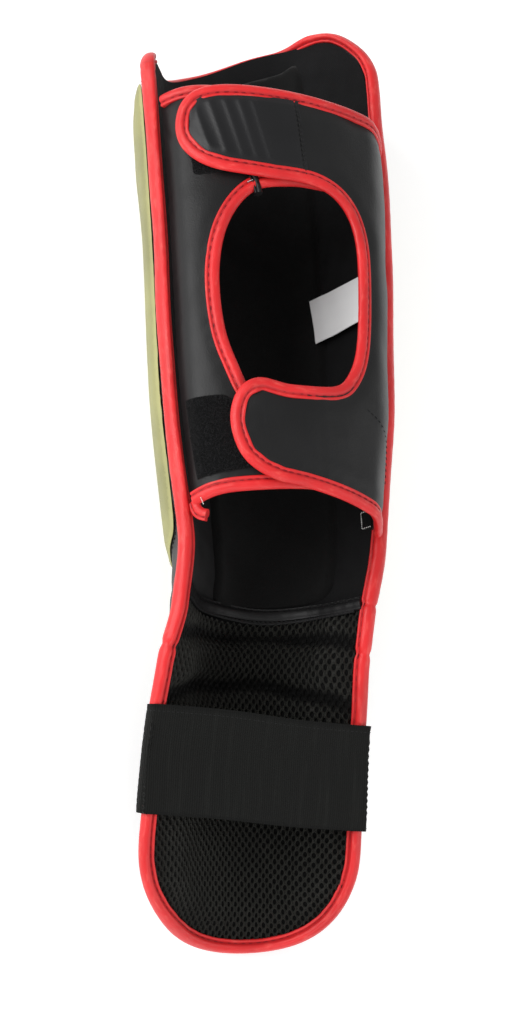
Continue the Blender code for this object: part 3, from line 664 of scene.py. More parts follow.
def sheet_faces(cut: Cut) -> list[tuple[int, ...]]:
    """Faces of a closed sheet whose two sides are the same cut.

    Args:
        cut: The flat cut.

    Returns:
        Vertex indices of each face, with the upper side's vertices first.
    """
    count = len(cut.points)
    faces = [tuple(t) for t in cut.triangles] + [tuple(t[::-1] + count) for t in cut.triangles]
    faces += [(a, b, b + count, a + count) for a, b in zip(cut.rim, np.roll(cut.rim, -1))]
    return [tuple(int(i) for i in face) for face in faces]


def linked(name: str, data: bpy.types.ID) -> Thing:
    """Object of some data, in the scene.

    Args:
        name: Name of the object.
        data: Its mesh, camera or light.

    Returns:
        The object, at the origin.
    """
    thing = bpy.data.objects.new(name, data)
    bpy.context.scene.collection.objects.link(thing)
    return thing


def evaluated(thing: Thing) -> bpy.types.Mesh:
    """New mesh of an object with its modifiers applied."""
    graph = bpy.context.evaluated_depsgraph_get()
    return bpy.data.meshes.new_from_object(thing.evaluated_get(graph))


def taken(mesh: bpy.types.Mesh) -> tuple[Array, list]:
    """Places of a mesh's vertices, and its faces."""
    return np.array([v.co for v in mesh.vertices]), [tuple(p.vertices) for p in mesh.polygons]


def solid(
    name: str, points: Array, faces: list, flat: Array, **notes: Array,
) -> Thing:
    """Closed mesh object with smooth faces that point outwards.

    Args:
        name: Name of the piece.
        points: World places of its vertices.
        faces: Vertex indices of each face.
        flat: Place of each vertex on the flat cloth, which its material reads.
        **notes: Further values for each vertex, which its material reads.

    Returns:
        The object, at the origin.
    """
    mesh = bpy.data.meshes.new(name)
    mesh.from_pydata(points.tolist(), [], faces)
    bm = bmesh.new()
    bm.from_mesh(mesh)
    bmesh.ops.recalc_face_normals(bm, faces=bm.faces)
    bm.to_mesh(mesh)
    bm.free()
    opened = mesh.attributes.new("flat", "FLOAT_VECTOR", "POINT")
    opened.data.foreach_set("vector", flat.astype(np.float32).ravel())
    for key, values in notes.items():
        mesh.attributes.new(key, "FLOAT", "POINT").data.foreach_set("value", values.astype(np.float32))
    mesh.shade_smooth()
    mesh.set_sharp_from_angle(angle=radians(60))
    return linked(name, mesh)


def slab(name: str, cut: Cut, surface: Surface, low: Height, high: Height) -> Thing:
    """Sheet of some thickness over a flat cut, laid on a surface.

    Args:
        name: Name of the piece.
        cut: The flat cut.
        surface: Where the cut's places lie in the world.
        low: Height of its underside.
        high: Height of its upper side.

    Returns:
        The object.
    """
    x, y = cut.points.T
    heights = [side(x, y) if callable(side) else np.full(len(x), side) for side in (high, low)]
    points = np.vstack([surface(x, y, height) for height in heights])
    flat = np.vstack([np.stack([x, y, height], 1) for height in heights])
    return solid(name, points, sheet_faces(cut), flat, margin=np.tile(cut.margin, 2))


class Socket:
    """Output of a node, with Python's operators for its sums."""

    def __init__(self, graph: "Graph", output: bpy.types.NodeSocket) -> None:
        """Wrap one output."""
        self.graph = graph
        self.output = output

    def _sum(self, operation: str, other: "Socket | float", swapped: bool = False) -> "Socket":
        """Math node of this socket and another value."""
        pair = (other, self) if swapped else (self, other)
        return self.graph.node("ShaderNodeMath", {"operation": operation}, {0: pair[0], 1: pair[1]})

    def __add__(self, other: "Socket | float") -> "Socket":
        """Sum."""
        return self._sum("ADD", other)

    def __sub__(self, other: "Socket | float") -> "Socket":
        """Difference."""
        return self._sum("SUBTRACT", other)

    def __rsub__(self, other: float) -> "Socket":
        """Difference from a number."""
        return self._sum("SUBTRACT", other, swapped=True)

    def __mul__(self, other: "Socket | float") -> "Socket":
        """Product."""
        return self._sum("MULTIPLY", other)

    def __pow__(self, other: float) -> "Socket":
        """Power."""
        return self._sum("POWER", other)

    __radd__ = __add__
    __rmul__ = __mul__

    def wave(self) -> "Socket":
        """Sine."""
        return self.graph.node("ShaderNodeMath", {"operation": "SINE"}, {0: self})

    def step(self, start: float, end: float) -> "Socket":
        """Smooth step from 0 at start to 1 at end."""
        values = {"Value": self, "From Min": start, "From Max": end}
        return self.graph.node("ShaderNodeMapRange", {"interpolation_type": "SMOOTHSTEP"}, values)


class Graph:
    """Writes the nodes of one tree."""

    def __init__(self, tree: bpy.types.NodeTree) -> None:
        """Start on a tree."""
        self.tree = tree

    def node(self, kind: str, settings: dict, values: dict, output: int | str = 0) -> Socket:
        """Add a node.

        Args:
            kind: The node's type.
            settings: Its settings, which are set first.
            values: Values or sockets of its inputs.
            output: Which output is returned.

        Returns:
            That output.
        """
        made = self.tree.nodes.new(kind)
        for key, value in settings.items():
            setattr(made, key, value)
        for key, value in values.items():
            self.feed(made.inputs[key], value)
        return Socket(self, made.outputs[output])

    def feed(self, target: bpy.types.NodeSocket, value: object) -> None:
        """Link a socket to an input, or set the input's own value.

        Args:
            target: The input.
            value: The socket or the value.
        """
        if isinstance(value, Socket):
            self.tree.links.new(value.output, target)
        else:
            target.default_value = value

    def entry(self, name: str) -> Socket:
        """Input of a node group."""
        return self.node("NodeGroupInput", {}, {}, name)


class Writer(Graph):
    """Writes the nodes of one material."""

    def __init__(self, name: str) -> None:
        """Start a material that holds a plain shader.

        Args:
            name: Name of the material.
        """
        self.material = bpy.data.materials.new(name)
        self.material.use_nodes = True
        super().__init__(self.material.node_tree)
        self.shader = self.tree.nodes["Principled BSDF"]

    def note(self, name: str, vector: bool = False) -> Socket:
        """Attribute that the mesh carries."""
        return self.node("ShaderNodeAttribute", {"attribute_name": name}, {}, 1 if vector else 2)

    def scaled(self, vector: Socket, by: tuple[float, float, float]) -> Socket:
        """Vector times another one."""
        return self.node("ShaderNodeVectorMath", {"operation": "MULTIPLY"}, {0: vector, 1: by})

    def part(self, vector: Socket, axis: int) -> Socket:
        """One number of a vector."""
        return self.node("ShaderNodeSeparateXYZ", {}, {0: vector}, axis)

    def noise(self, vector: Socket, scale: float, detail: float = 2.0, roughness: float = 0.5) -> Socket:
        """Cloudy noise of 0 to 1."""
        values = {"Vector": vector, "Scale": scale, "Detail": detail, "Roughness": roughness}
        return self.node("ShaderNodeTexNoise", {}, values)

    def cells(self, vector: Socket, scale: float, feature: str = "F1") -> Socket:
        """Distance to the nearest of scattered points, or to the cells' borders."""
        return self.node("ShaderNodeTexVoronoi", {"feature": feature}, {"Vector": vector, "Scale": scale})

    def mix(self, share: Socket, first: object, second: object) -> Socket:
        """Colour between two colours."""
        pair = [(*c, 1) if isinstance(c, tuple) else c for c in (first, second)]
        return self.node("ShaderNodeMix", {"data_type": "RGBA"}, {0: share, 6: pair[0], 7: pair[1]}, 2)

    def bump(
        self, height: Socket, depth: float, under: "Socket | None" = None, strength: float = 1.0,
    ) -> Socket:
        """Relief of a depth in metres, on top of another one.

        Args:
            height: The relief.
            depth: Its depth in metres.
            under: Relief below it.
            strength: How much of it is seen.

        Returns:
            The bent normal.
        """
        values = {"Height": height, "Distance": depth, "Strength": strength}
        if under is not None:
            values["Normal"] = under
        return self.node("ShaderNodeBump", {}, values)

    def finish(self, **values: object) -> bpy.types.Material:
        """Feed the shader's inputs.

        Args:
            **values: Values or sockets by the inputs' names, with underscores for spaces.

        Returns:
            The material.
        """
        for key, value in values.items():
            self.feed(self.shader.inputs[key.replace("_", " ")], value)
        return self.material


@dataclass(frozen=True)
class Finish:
    """A finish, which makes one material when it is first asked for."""

    name: str
    colour: Colour
    roughness: float = 0.5

    def material(self) -> bpy.types.Material:
        """The material of this finish."""
        return bpy.data.materials.get(self.name) or self.made(Writer(self.name))

    def shade(self, by: float) -> Colour:
        """This finish's colour made lighter or darker."""
        return tuple(min(1.0, c * by) for c in self.colour)

    def made(self, w: Writer) -> bpy.types.Material:
        """Write the material's nodes."""
        raise NotImplementedError


@dataclass(frozen=True)
class CoatedCover(Finish):
    """Smooth coated cloth over foam: fine grain, soft clouds of gloss, rubbed edges."""

    grain: float = 0.00005
    streaks: float = 0.0
    specular: float = 0.26

    def made(self, w: Writer) -> bpy.types.Material:
        """Write the material's nodes.

        Args:
            w: Its writer.

        Returns:
            The material.
        """
        flat = w.note("flat", vector=True)
        clouds = w.noise(flat, 22, 4)
        marks = w.noise(w.scaled(flat, (260, 34, 1)), 1, 5, 0.65).step(0.56, 0.78)
        grain = w.cells(flat, 1500)
        pores = w.noise(flat, 5200, 2)
        rubbed = 1 - w.note("margin").step(0.0005, 0.0035)
        tone = w.mix(clouds.step(0.3, 0.7), self.shade(0.82), self.shade(1.22))
        tone = w.mix(marks * self.streaks + rubbed * 0.25, tone, self.shade(2.4))
        relief = w.bump(grain + pores * 0.5, self.grain)
        relief = w.bump(w.noise(flat, 130, 3), 0.00025, relief, 0.6)
        rough = (clouds - 0.5) * 0.16 + self.roughness + marks * 0.08
        return w.finish(
            Base_Color=tone, Roughness=rough, Normal=relief, Specular_IOR_Level=self.specular,
        )


@dataclass(frozen=True)
class BiasTape(Finish):
    """Woven tape with a satin face, with painted shade in the groove where the stitches pull it down."""

    def made(self, w: Writer) -> bpy.types.Material:
        """Write the material's nodes.

        Args:
            w: Its writer.

        Returns:
            The material.
        """
        flat = w.note("flat", vector=True)
        across, along = w.part(flat, 0), w.part(flat, 1)
        twill = (along * 9000 + across * 9000).wave() * 0.5 + 0.5
        pulls = w.noise(w.scaled(flat, (420, 120, 420)), 1, 4, 0.6)
        clouds = w.noise(flat, 30, 3)
        groove = w.note("groove")
        tone = w.mix(clouds.step(0.3, 0.7), self.shade(0.86), self.shade(1.08))
        tone = w.mix(pulls.step(0.5, 0.8) * 0.35, tone, (0.86, 0.16, 0.13))
        # painted shade: the tape is darkened towards deep red in its stitched groove, where shade falls
        tone = w.mix(groove * 0.75, tone, (0.30, 0.004, 0.008))
        relief = w.bump(twill, 0.00003)
        relief = w.bump(pulls, 0.00035, relief, 0.8)
        return w.finish(
            Base_Color=tone, Roughness=self.roughness + (clouds - 0.5) * 0.15 + groove * 0.2, Normal=relief,
            Specular_IOR_Level=0.35,
        )


@dataclass(frozen=True)
class Jersey(Finish):
    """Knitted face of a thin foam lining, matt with a fine fuzz."""

    rows: float = 0.0009

    def made(self, w: Writer) -> bpy.types.Material:
        """Write the material's nodes.

        Args:
            w: Its writer.

        Returns:
            The material.
        """
        flat = w.note("flat", vector=True)
        across, along = w.part(flat, 0), w.part(flat, 1)
        wales = (across * (2 * pi / self.rows)).wave() * (along * (2 * pi / self.rows / 1.3)).wave()
        fuzz = w.noise(flat, 1800, 3, 0.7)
        clouds = w.noise(flat, 28, 4)
        lint = w.cells(flat, 95).step(0.05, 0.02)
        tone = w.mix(clouds.step(0.3, 0.7), self.shade(0.75), self.shade(1.35))
        tone = w.mix(fuzz.step(0.45, 0.75) * 0.5, tone, self.shade(2.2))
        tone = w.mix(lint * 0.35, tone, self.shade(5))
        relief = w.bump(wales * 0.5 + fuzz, 0.00012)
        relief = w.bump(w.noise(flat, 60, 2), 0.0006, relief, 0.5)
        return w.finish(
            Base_Color=tone, Roughness=self.roughness, Normal=relief, Specular_IOR_Level=0.10,
            Sheen_Weight=0.05, Sheen_Roughness=0.6,
        )


@dataclass(frozen=True)
class NetYarn(Finish):
    """Yarn of the air mesh, with painted shade down the walls of its holes and in its cross creases, lighter
    on the crests between the holes.
    """

    def made(self, w: Writer) -> bpy.types.Material:
        """Write the material's nodes.

        Args:
            w: Its writer.

        Returns:
            The material.
        """
        flat = w.note("flat", vector=True)
        yarn = w.noise(w.scaled(flat, (2400, 900, 1)), 1, 3, 0.6)
        clouds = w.noise(flat, 45, 3)
        crest = w.note("crest")
        # painted shade: the yarn darkens down the walls of each hole and is lighter on the crests
        tone = w.mix(crest, self.shade(0.15), self.shade(1.3))
        tone = w.mix(yarn.step(0.4, 0.75) * 0.5, tone, self.shade(1.9))
        tone = w.mix(clouds.step(0.35, 0.7) * 0.4, tone, self.shade(0.6))
        # painted shade: the yarn is darkened almost to black in the two cross creases, read from the fold
        # attribute
        tone = w.mix(w.note("fold") ** 0.7, tone, self.shade(0.05))
        return w.finish(
            Base_Color=tone, Roughness=self.roughness, Normal=w.bump(yarn, 0.0002),
            Specular_IOR_Level=0.2,
        )


@dataclass(frozen=True)
class WovenElastic(Finish):
    """Wide elastic with fine ribs across its length and a tight edge."""

    rib: float = 0.0011

    def made(self, w: Writer) -> bpy.types.Material:
        """Write the material's nodes.

        Args:
            w: Its writer.

        Returns:
            The material.
        """
        flat = w.note("flat", vector=True)
        across, along = w.part(flat, 0), w.part(flat, 1)
        drift = w.noise(w.scaled(flat, (60, 12, 1)), 1, 2) * 5
        ribs = (across * (2 * pi / self.rib) + drift).wave() * 0.5 + 0.5
        picks = (along * (2 * pi / 0.0007)).wave() * 0.5 + 0.5
        worn = w.noise(w.scaled(flat, (330, 18, 1)), 1, 4, 0.7)
        edge = 1 - w.note("margin").step(0.0008, 0.0020)
        tone = w.mix(ribs, self.shade(0.62), self.shade(1.25))
        tone = w.mix(worn.step(0.48, 0.75) * 0.55, tone, self.shade(2.0))
        tone = w.mix(edge * 0.6, tone, self.shade(0.45))
        relief = w.bump(ribs + picks * 0.3, 0.00016)
        return w.finish(
            Base_Color=tone, Roughness=self.roughness, Normal=relief, Specular_IOR_Level=0.15,
            Sheen_Weight=0.02, Sheen_Roughness=0.5,
        )


@dataclass(frozen=True)
class Yarn(Finish):
    """Single thread or fibre."""

    def made(self, w: Writer) -> bpy.types.Material:
        """Write the material's nodes.

        Args:
            w: Its writer.

        Returns:
            The material.
        """
        place = w.node("ShaderNodeTexCoord", {}, {}, 3)
        clouds = w.noise(place, 900, 3)
        tone = w.mix(clouds, self.shade(0.6), self.shade(1.5))
        return w.finish(
            Base_Color=tone, Roughness=self.roughness, Normal=w.bump(clouds, 0.0001), Specular_IOR_Level=0.3,
        )


@dataclass(frozen=True)
class LabelCloth(Finish):
    """Satin label with a fine weave and a heat-cut edge."""

    def made(self, w: Writer) -> bpy.types.Material:
        """Write the material's nodes.

        Args:
            w: Its writer.

        Returns:
            The material.
        """
        flat = w.note("flat", vector=True)
        across, along = w.part(flat, 0), w.part(flat, 1)
        weave = (across * 12500).wave() * (along * 12500).wave() * 0.5 + 0.5
        clouds = w.noise(flat, 120, 3)
        tone = w.mix(clouds, self.shade(0.93), self.colour)
        tone = w.mix((1 - w.note("margin").step(0.0003, 0.0008)) * 0.5, tone, self.shade(0.8))
        return w.finish(
            Base_Color=tone, Roughness=self.roughness + (clouds - 0.5) * 0.1, Normal=w.bump(weave, 0.00003),
            Specular_IOR_Level=0.4,
        )


@dataclass(frozen=True)
class PaperFloor(Finish):
    """Seamless pale paper."""

    def made(self, w: Writer) -> bpy.types.Material:
        """Write the material's nodes.

        Args:
            w: Its writer.

        Returns:
            The material.
        """
        place = w.node("ShaderNodeTexCoord", {}, {}, 3)
        tone = w.mix(w.noise(place, 3, 3), self.shade(0.99), self.colour)
        return w.finish(
            Base_Color=tone, Roughness=self.roughness, Specular_IOR_Level=0.1,
            Emission_Color=(1.0, 1.0, 1.0, 1.0), Emission_Strength=0.30,
        )


class Palette(Enum):
    """Finishes of the guard's pieces."""

    COVER = CoatedCover("black_coated_cover", (0.0062, 0.0062, 0.0065), 0.45, streaks=0.10)
    STRAP_PATCH = CoatedCover("moulded_patch", (0.0080, 0.0080, 0.0088), 0.42, grain=0.00003)
    OLIVE = CoatedCover("olive_coated_cover", (0.235, 0.230, 0.100), 0.50, grain=0.00006)
    RED = BiasTape("red_bias_tape", (0.60, 0.016, 0.018), 0.42)
    LINING = Jersey("black_jersey", (0.0032, 0.0032, 0.0035), 0.95)
    PANEL = Jersey("black_jersey_panel", (0.0028, 0.0028, 0.0028), 0.93)
    NET = NetYarn("air_mesh_yarn", (0.015, 0.015, 0.0128), 0.70)
    UNDER_NET = Jersey("air_mesh_ground", (0.0010, 0.0010, 0.0010), 0.98)
    PILE = Yarn("loop_pile_yarn", (0.0075, 0.0075, 0.0082), 0.75)
    PILE_GROUND = Jersey("loop_pile_ground", (0.0014, 0.0014, 0.0016), 0.98)
    ELASTIC = WovenElastic("black_elastic", (0.0056, 0.0058, 0.0052), 0.85)
    RED_THREAD = Yarn("dark_red_thread", (0.20, 0.003, 0.008), 0.60)
    BLACK_THREAD = Yarn("black_thread", (0.0045, 0.0045, 0.0048), 0.65)
    WHITE_THREAD = Yarn("white_thread", (0.62, 0.62, 0.60), 0.65)
    LABEL = LabelCloth("white_label_cloth", (0.80, 0.80, 0.80), 0.55)
    FLOOR = PaperFloor("white_paper", (0.94, 0.94, 0.94), 0.85)


def dressed(
    thing: Thing, finish: Palette, nodes: Sequence[str] = (), slot: str = "",
) -> Thing:
    """Give a piece its finish, hang it on the root body and hide the CAD nodes that it stands for.

    Args:
        thing: The finished piece.
        finish: Its finish.
        nodes: CAD nodes that it stands for.
        slot: Not used.

    Returns:
        The same piece.
    """
    thing.data.materials.clear()
    thing.data.materials.append(finish.value.material())
    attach(thing, "root")
    if nodes:
        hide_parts(*nodes)
    LOG.info("%s: %d faces, %s", thing.name, len(thing.data.polygons), finish.value.name)
    return thing


class Shape(Enum):
    """What a repeating tree lays at each of its spots."""

    STITCH = "stitch"
    PILE_LOOP = "pile_loop"
    NET_CELL = "net_cell"


@dataclass
class Repeat:
    """One small shape at every spot, made by Geometry Nodes."""

    shape: Shape
    length: float
    width: float
    height: float
    spread: float = 0.0
    seed: int = 1
    weld: float = 0.00004

    def source(self, g: Graph) -> Socket:
        """Nodes of the small shape itself.

        Args:
            g: The tree that they are written in.

        Returns:
            The shape's geometry.
        """
        if self.shape is Shape.NET_CELL:
            return g.node("GeometryNodeObjectInfo", {}, {"Object": g.entry("Cell")}, "Geometry")
        if self.shape is Shape.STITCH:
            small = g.node("GeometryNodeMeshUVSphere", {}, {"Segments": 6, "Rings": 5, "Radius": 0.5})
        else:
            line = g.node("GeometryNodeCurvePrimitiveLine", {}, {"Start": (-0.5, 0, 0), "End": (0.5, 0, 0)})
            line = g.node("GeometryNodeResampleCurve", {}, {"Curve": line, "Count": 6})
            x = g.node("ShaderNodeSeparateXYZ", {}, {0: g.node("GeometryNodeInputPosition", {}, {})})
            drop = g.node("ShaderNodeMath", {"operation": "MULTIPLY_ADD"}, {0: x * x, 1: -4.0, 2: 1.0})
            lift = g.node("ShaderNodeMath", {"operation": "MAXIMUM"}, {0: drop, 1: 0.0})
            offset = g.node("ShaderNodeCombineXYZ", {}, {2: lift})
            bow = g.node("GeometryNodeSetPosition", {}, {"Geometry": line, "Offset": offset})
            profile = g.node("GeometryNodeCurvePrimitiveCircle", {}, {"Resolution": 3, "Radius": 0.08})
            small = g.node("GeometryNodeCurveToMesh", {}, {"Curve": bow, "Profile Curve": profile})
        size = {k: g.entry(key) for k, key in enumerate(("Length", "Width", "Height"))}
        size = g.node("ShaderNodeCombineXYZ", {}, size)
        return g.node("GeometryNodeTransform", {}, {"Geometry": small, "Scale": size})

    def tree(self) -> bpy.types.NodeTree:
        """The Geometry Nodes tree, with named inputs for its sizes.

        Returns:
            The tree.
        """
        tree = bpy.data.node_groups.new(self.shape.value, "GeometryNodeTree")
        kinds = {
            "Spots": "Geometry", "Length": "Float", "Width": "Float", "Height": "Float", "Spread": "Float",
            "Seed": "Int", "Cell": "Object", "Finish": "Material",
        }
        for key, kind in kinds.items():
            tree.interface.new_socket(key, in_out="INPUT", socket_type=f"NodeSocket{kind}")
        tree.interface.new_socket("Pieces", in_out="OUTPUT", socket_type="NodeSocketGeometry")
        g = Graph(tree)
        values = {"Points": g.entry("Spots"), "Instance": self.source(g)}
        if self.shape is not Shape.NET_CELL:
            run, up = (
                g.node("GeometryNodeInputNamedAttribute", {"data_type": "FLOAT_VECTOR"}, {"Name": key})
                for key in ("run", "up")
            )
            axes = {"primary_axis": "Z", "secondary_axis": "X"}
            values["Rotation"] = g.node("FunctionNodeAxesToRotation", axes, {0: up, 1: run})
            spread = g.entry("Spread")
            chance = {2: 1.0 - spread, 3: 1.0 + spread, "Seed": g.entry("Seed")}
            values["Scale"] = g.node("FunctionNodeRandomValue", {}, chance, 1)
        last = g.node("GeometryNodeInstanceOnPoints", {}, values)
        last = g.node("GeometryNodeRealizeInstances", {}, {0: last})
        if self.shape is Shape.NET_CELL:
            last = g.node("GeometryNodeMergeByDistance", {}, {"Geometry": last, "Distance": self.weld})
        last = g.node("GeometryNodeSetMaterial", {}, {"Geometry": last, "Material": g.entry("Finish")})
        g.feed(tree.nodes.new("NodeGroupOutput").inputs[0], last)
        return tree

    def lay(
        self, name: str, spots: Array, finish: Palette, run: Array | None = None,
        up: Array | None = None, cell: Thing | None = None,
    ) -> Thing:
        """Lay the shapes and turn them into one plain mesh.

        Args:
            name: Name of the piece.
            spots: Where the shapes lie.
            finish: The finish that the tree sets.
            run: Direction of each shape's length.
            up: Direction of each shape's height.
            cell: Shape to repeat, for a net.

        Returns:
            The mesh object, at the origin.
        """
        mesh = bpy.data.meshes.new(name)
        mesh.from_pydata(np.asarray(spots).tolist(), [], [])
        for key, values in (("run", run), ("up", up)):
            if values is not None:
                data = mesh.attributes.new(key, "FLOAT_VECTOR", "POINT").data
                data.foreach_set("vector", np.asarray(values, np.float32).ravel())
        thing = linked(name, mesh)
        tree = self.tree()
        modifier = thing.modifiers.new(name, "NODES")
        modifier.node_group = tree
        values = {
            "Length": self.length, "Width": self.width, "Height": self.height, "Spread": self.spread,
            "Seed": self.seed, "Cell": cell, "Finish": finish.value.material(),
        }
        for item in tree.interface.items_tree:
            if item.in_out == "INPUT" and item.name in values:
                modifier[item.identifier] = values[item.name]
        made = evaluated(thing)
        thing.modifiers.clear()
        thing.data = made
        made.shade_smooth()
        return thing


@dataclass
class Tape:
    """Binding folded round an edge and sewn through, with its row of stitches."""

    name: str
    path: Array
    surface: Surface
    width: float
    height: float
    middle: float = 0.0
    closed: bool = False
    profile: Rows = FOLDED_TAPE
    groove: float = 0.50
    pitch: float = 0.0042
    seed: int = 3
    pucker: float = 0.00020
    nodes: tuple[str, ...] = ()
    finish: Palette = Palette.RED
    thread: Palette = Palette.RED_THREAD
    slot: str = "red_binding"
    thinned: float = 0.38
    sunk: float = 0.0022
    # half length of a kink, shares lost across and in height
    kink: tuple[float, float, float] = (0.0013, 0.14, 0.28)
    # share of its height, and length of the waves
    fullness: tuple[float, float] = (0.05, 0.045)
    # how far to the side, and length of the waves
    wander: tuple[float, float] = (0.00035, 0.055)
    # puckers in a tight bend: in height, across
    gather: tuple[float, float] = (0.00034, 0.00022)
    tightest: float = 60.0
    # share of the pitch, width, height
    stitch: tuple[float, float, float] = (0.64, 0.0008, 0.0006)
    unevenness: float = 0.10
    roll: Array | float = 0.0
    thin: Array | float = 0.0
    kinks: tuple[float, ...] = ()
    slim: Array | float = 0.0

    def each(self, value: Array | float) -> Array:
        """Column with a value for each place on the path."""
        return np.broadcast_to(value, len(self.path))[:, None]

    def frames(self) -> tuple[Array, Array, Array, Array]:
        """Places on the path, with the directions along, to the inner side and outwards.

        Returns:
            The places and the three directions at each of them.
        """
        x, y = self.path.T
        centre = self.surface(x, y, self.middle)
        outward = self.surface(x, y, self.middle + PROBE) - centre
        ahead = self.surface(x, y + PROBE, self.middle) - centre
        aside = self.surface(x + PROBE, y, self.middle) - centre
        normal = np.cross(ahead, aside)
        normal = unit(normal * np.sign(np.sum(normal * outward, axis=1, keepdims=True)))
        if self.closed:
            run = np.roll(centre, -1, 0) - np.roll(centre, 1, 0)
        else:
            run = np.gradient(centre, axis=0)
        run = unit(run)
        side = unit(np.cross(run, normal))
        normal = np.cross(side, run)
        turn = self.each(self.roll)
        turned = side * np.cos(turn) + normal * np.sin(turn)
        side, normal = turned, normal * np.cos(turn) - side * np.sin(turn)
        return centre - normal * self.each(self.thin) * self.sunk, run, side, normal

    def bends(self, run: Array, side: Array) -> Array:
        """How tightly the path bends towards its inner side, in radians per metre.

        Args:
            run: Direction along at each place.
            side: Direction to the inner side at each place.

        Returns:
            The bend at each place.
        """
        step = lengths(self.path).mean()
        turn = (np.roll(run, -3, 0) - np.roll(run, 3, 0)) / (6 * step)
        turn[:3] = turn[-3:] = 0
        return np.sum(turn * side, axis=1)

    def build(self) -> None:
        """Make the tape and its stitches."""
        centre, run, side, normal = self.frames()
        count = len(centre)
        step = float(lengths(centre).mean())
        at = np.arange(count) * step
        if self.closed:
            loops = max(1, round(count * step / self.pitch))
            phase = 2 * pi * loops * np.arange(count) / count
        else:
            phase = 2 * pi * at / self.pitch
        half = np.array(self.profile, float)
        rows = np.vstack([half, half[::-1] * (1, -1)])
        a, b = rows[:, 0] * self.width / 2, rows[:, 1] * self.height / 2
        dip = np.exp(-((rows[:, 0] - self.groove) / 0.16) ** 2)
        bead = np.exp(-((rows[:, 0] + 0.25) / 0.55) ** 2)
        inner = smooth(0.1, 1.0, rows[:, 0])
        bend = np.clip(self.bends(run, side) / self.tightest, 0, 1.4)
        tight = np.sin(at / 0.0019 + 1.5 * np.sin(at / 0.013)) * bend
        high, size = self.fullness
        swell = 1 + high * ripple(at, at * 0, size, self.seed)[:, None] * bead
        lift = np.sign(b) * (
            -self.pucker * dip * (0.6 - 0.4 * np.cos(phase))[:, None]
            + 0.00018 * bead * np.sin(phase * 0.5 + 2 * np.sin(at / 0.02))[:, None] * 0.4
            + self.gather[0] * inner * tight[:, None]
        )
        far, size = self.wander
        shift = far * ripple(at, at * 0, size, self.seed + 1)[:, None]
        shift = shift + self.gather[1] * inner * tight[:, None]
        narrow = 1 - self.thinned * self.each(self.thin)
        long, across, deep = self.kink
        pinch = sum(np.exp(-((at - place) / long) ** 2) for place in self.kinks) + np.zeros(count)
        a = (a[None] + shift) * narrow * (1 - across * pinch[:, None])
        b = (b[None] * swell + lift) * narrow * (1 - deep * pinch[:, None])
        slim = self.each(self.slim)
        a = a * (1 - slim) - slim * self.width / 2
        points = centre[:, None] + side[:, None] * a[..., None] + normal[:, None] * b[..., None]
        sides = len(rows)
        faces = []
        for i in range(count if self.closed else count - 1):
            p, q = i * sides, (i + 1) % count * sides
            faces += [(p + k, p + (k + 1) % sides, q + (k + 1) % sides, q + k) for k in range(sides)]
        if not self.closed:
            faces += [tuple(range(sides)), tuple((count - 1) * sides + k for k in reversed(range(sides)))]
        run_at = np.repeat(at, sides)
        flat = np.stack([a.ravel(), run_at, b.ravel()], 1)
        # painted shade mask: strongest in the stitched groove, where the tape's material darkens the tape
        groove = np.tile(dip, count) * 0.9
        edge = np.tile(np.minimum(1, np.abs(rows[:, 0] + 1) * 0.004), count)
        tape = solid(self.name, points.reshape(-1, 3), faces, flat, groove=groove, margin=edge)
        dressed(tape, self.finish, self.nodes, self.slot)
        self.stitches(centre, run, side, normal, step)

    def stitches(
        self, centre: Array, run: Array, side: Array, normal: Array, step: float,
    ) -> None:
        """The row of stitches on both faces of the tape.

        Args:
            centre: Places on the path.
            run: Direction along at each place.
            side: Direction to the inner side at each place.
            normal: Direction outwards at each place.
            step: Distance from place to place.
        """
        count = len(centre)
        total = max(1, round(count * step / self.pitch))
        at = ((np.arange(total) + 0.5) * count / total).astype(int) % count
        half = np.array(self.profile, float)
        order = np.argsort(half[:, 0])
        depth = np.interp(self.groove, half[order, 0], half[order, 1]) * self.height / 2 - self.pucker * 0.6
        slim = self.each(self.slim)[at]
        thin = 1 - self.thinned * self.each(self.thin)[at]
        middle = centre[at] + side[at] * (self.groove * thin * (1 - slim) - slim) * self.width / 2
        spots = [middle + normal[at] * sign * depth * thin for sign in (1, -1)]
        share, width, height = self.stitch
        repeat = Repeat(Shape.STITCH, self.pitch * share, width, height, self.unevenness, self.seed)
        rows = repeat.lay(
            f"{self.name}_stitches", np.vstack(spots), self.thread, np.vstack([run[at]] * 2),
            np.vstack([normal[at], -normal[at]]),
        )
        dressed(rows, self.thread)


def sewn_line(
    name: str, line: Array, surface: Surface, height: Height, thread: Palette, pitch: float = 0.0032,
    width: float = 0.0006,
) -> Thing:
    """Row of stitches on a surface.

    Args:
        name: Name of the piece.
        line: Flat path of the row.
        surface: Surface that it lies on.
        height: Height of the threads' middle.
        thread: Finish of the thread.
        pitch: Distance from stitch to stitch.
        width: Thickness of the thread.

    Returns:
        The piece.
    """
    path = resample(line, pitch)
    x, y = path.T
    here = height(x, y) if callable(height) else np.full(len(x), height)
    spots = surface(x, y, here)
    up = surface(x, y, here + PROBE) - spots
    run = unit(np.gradient(spots, axis=0))
    share, flatness, unevenness = SEWN_STITCH
    repeat = Repeat(Shape.STITCH, pitch * share, width, width * flatness, unevenness, 4)
    return dressed(repeat.lay(name, spots, thread, run, up / PROBE), thread)


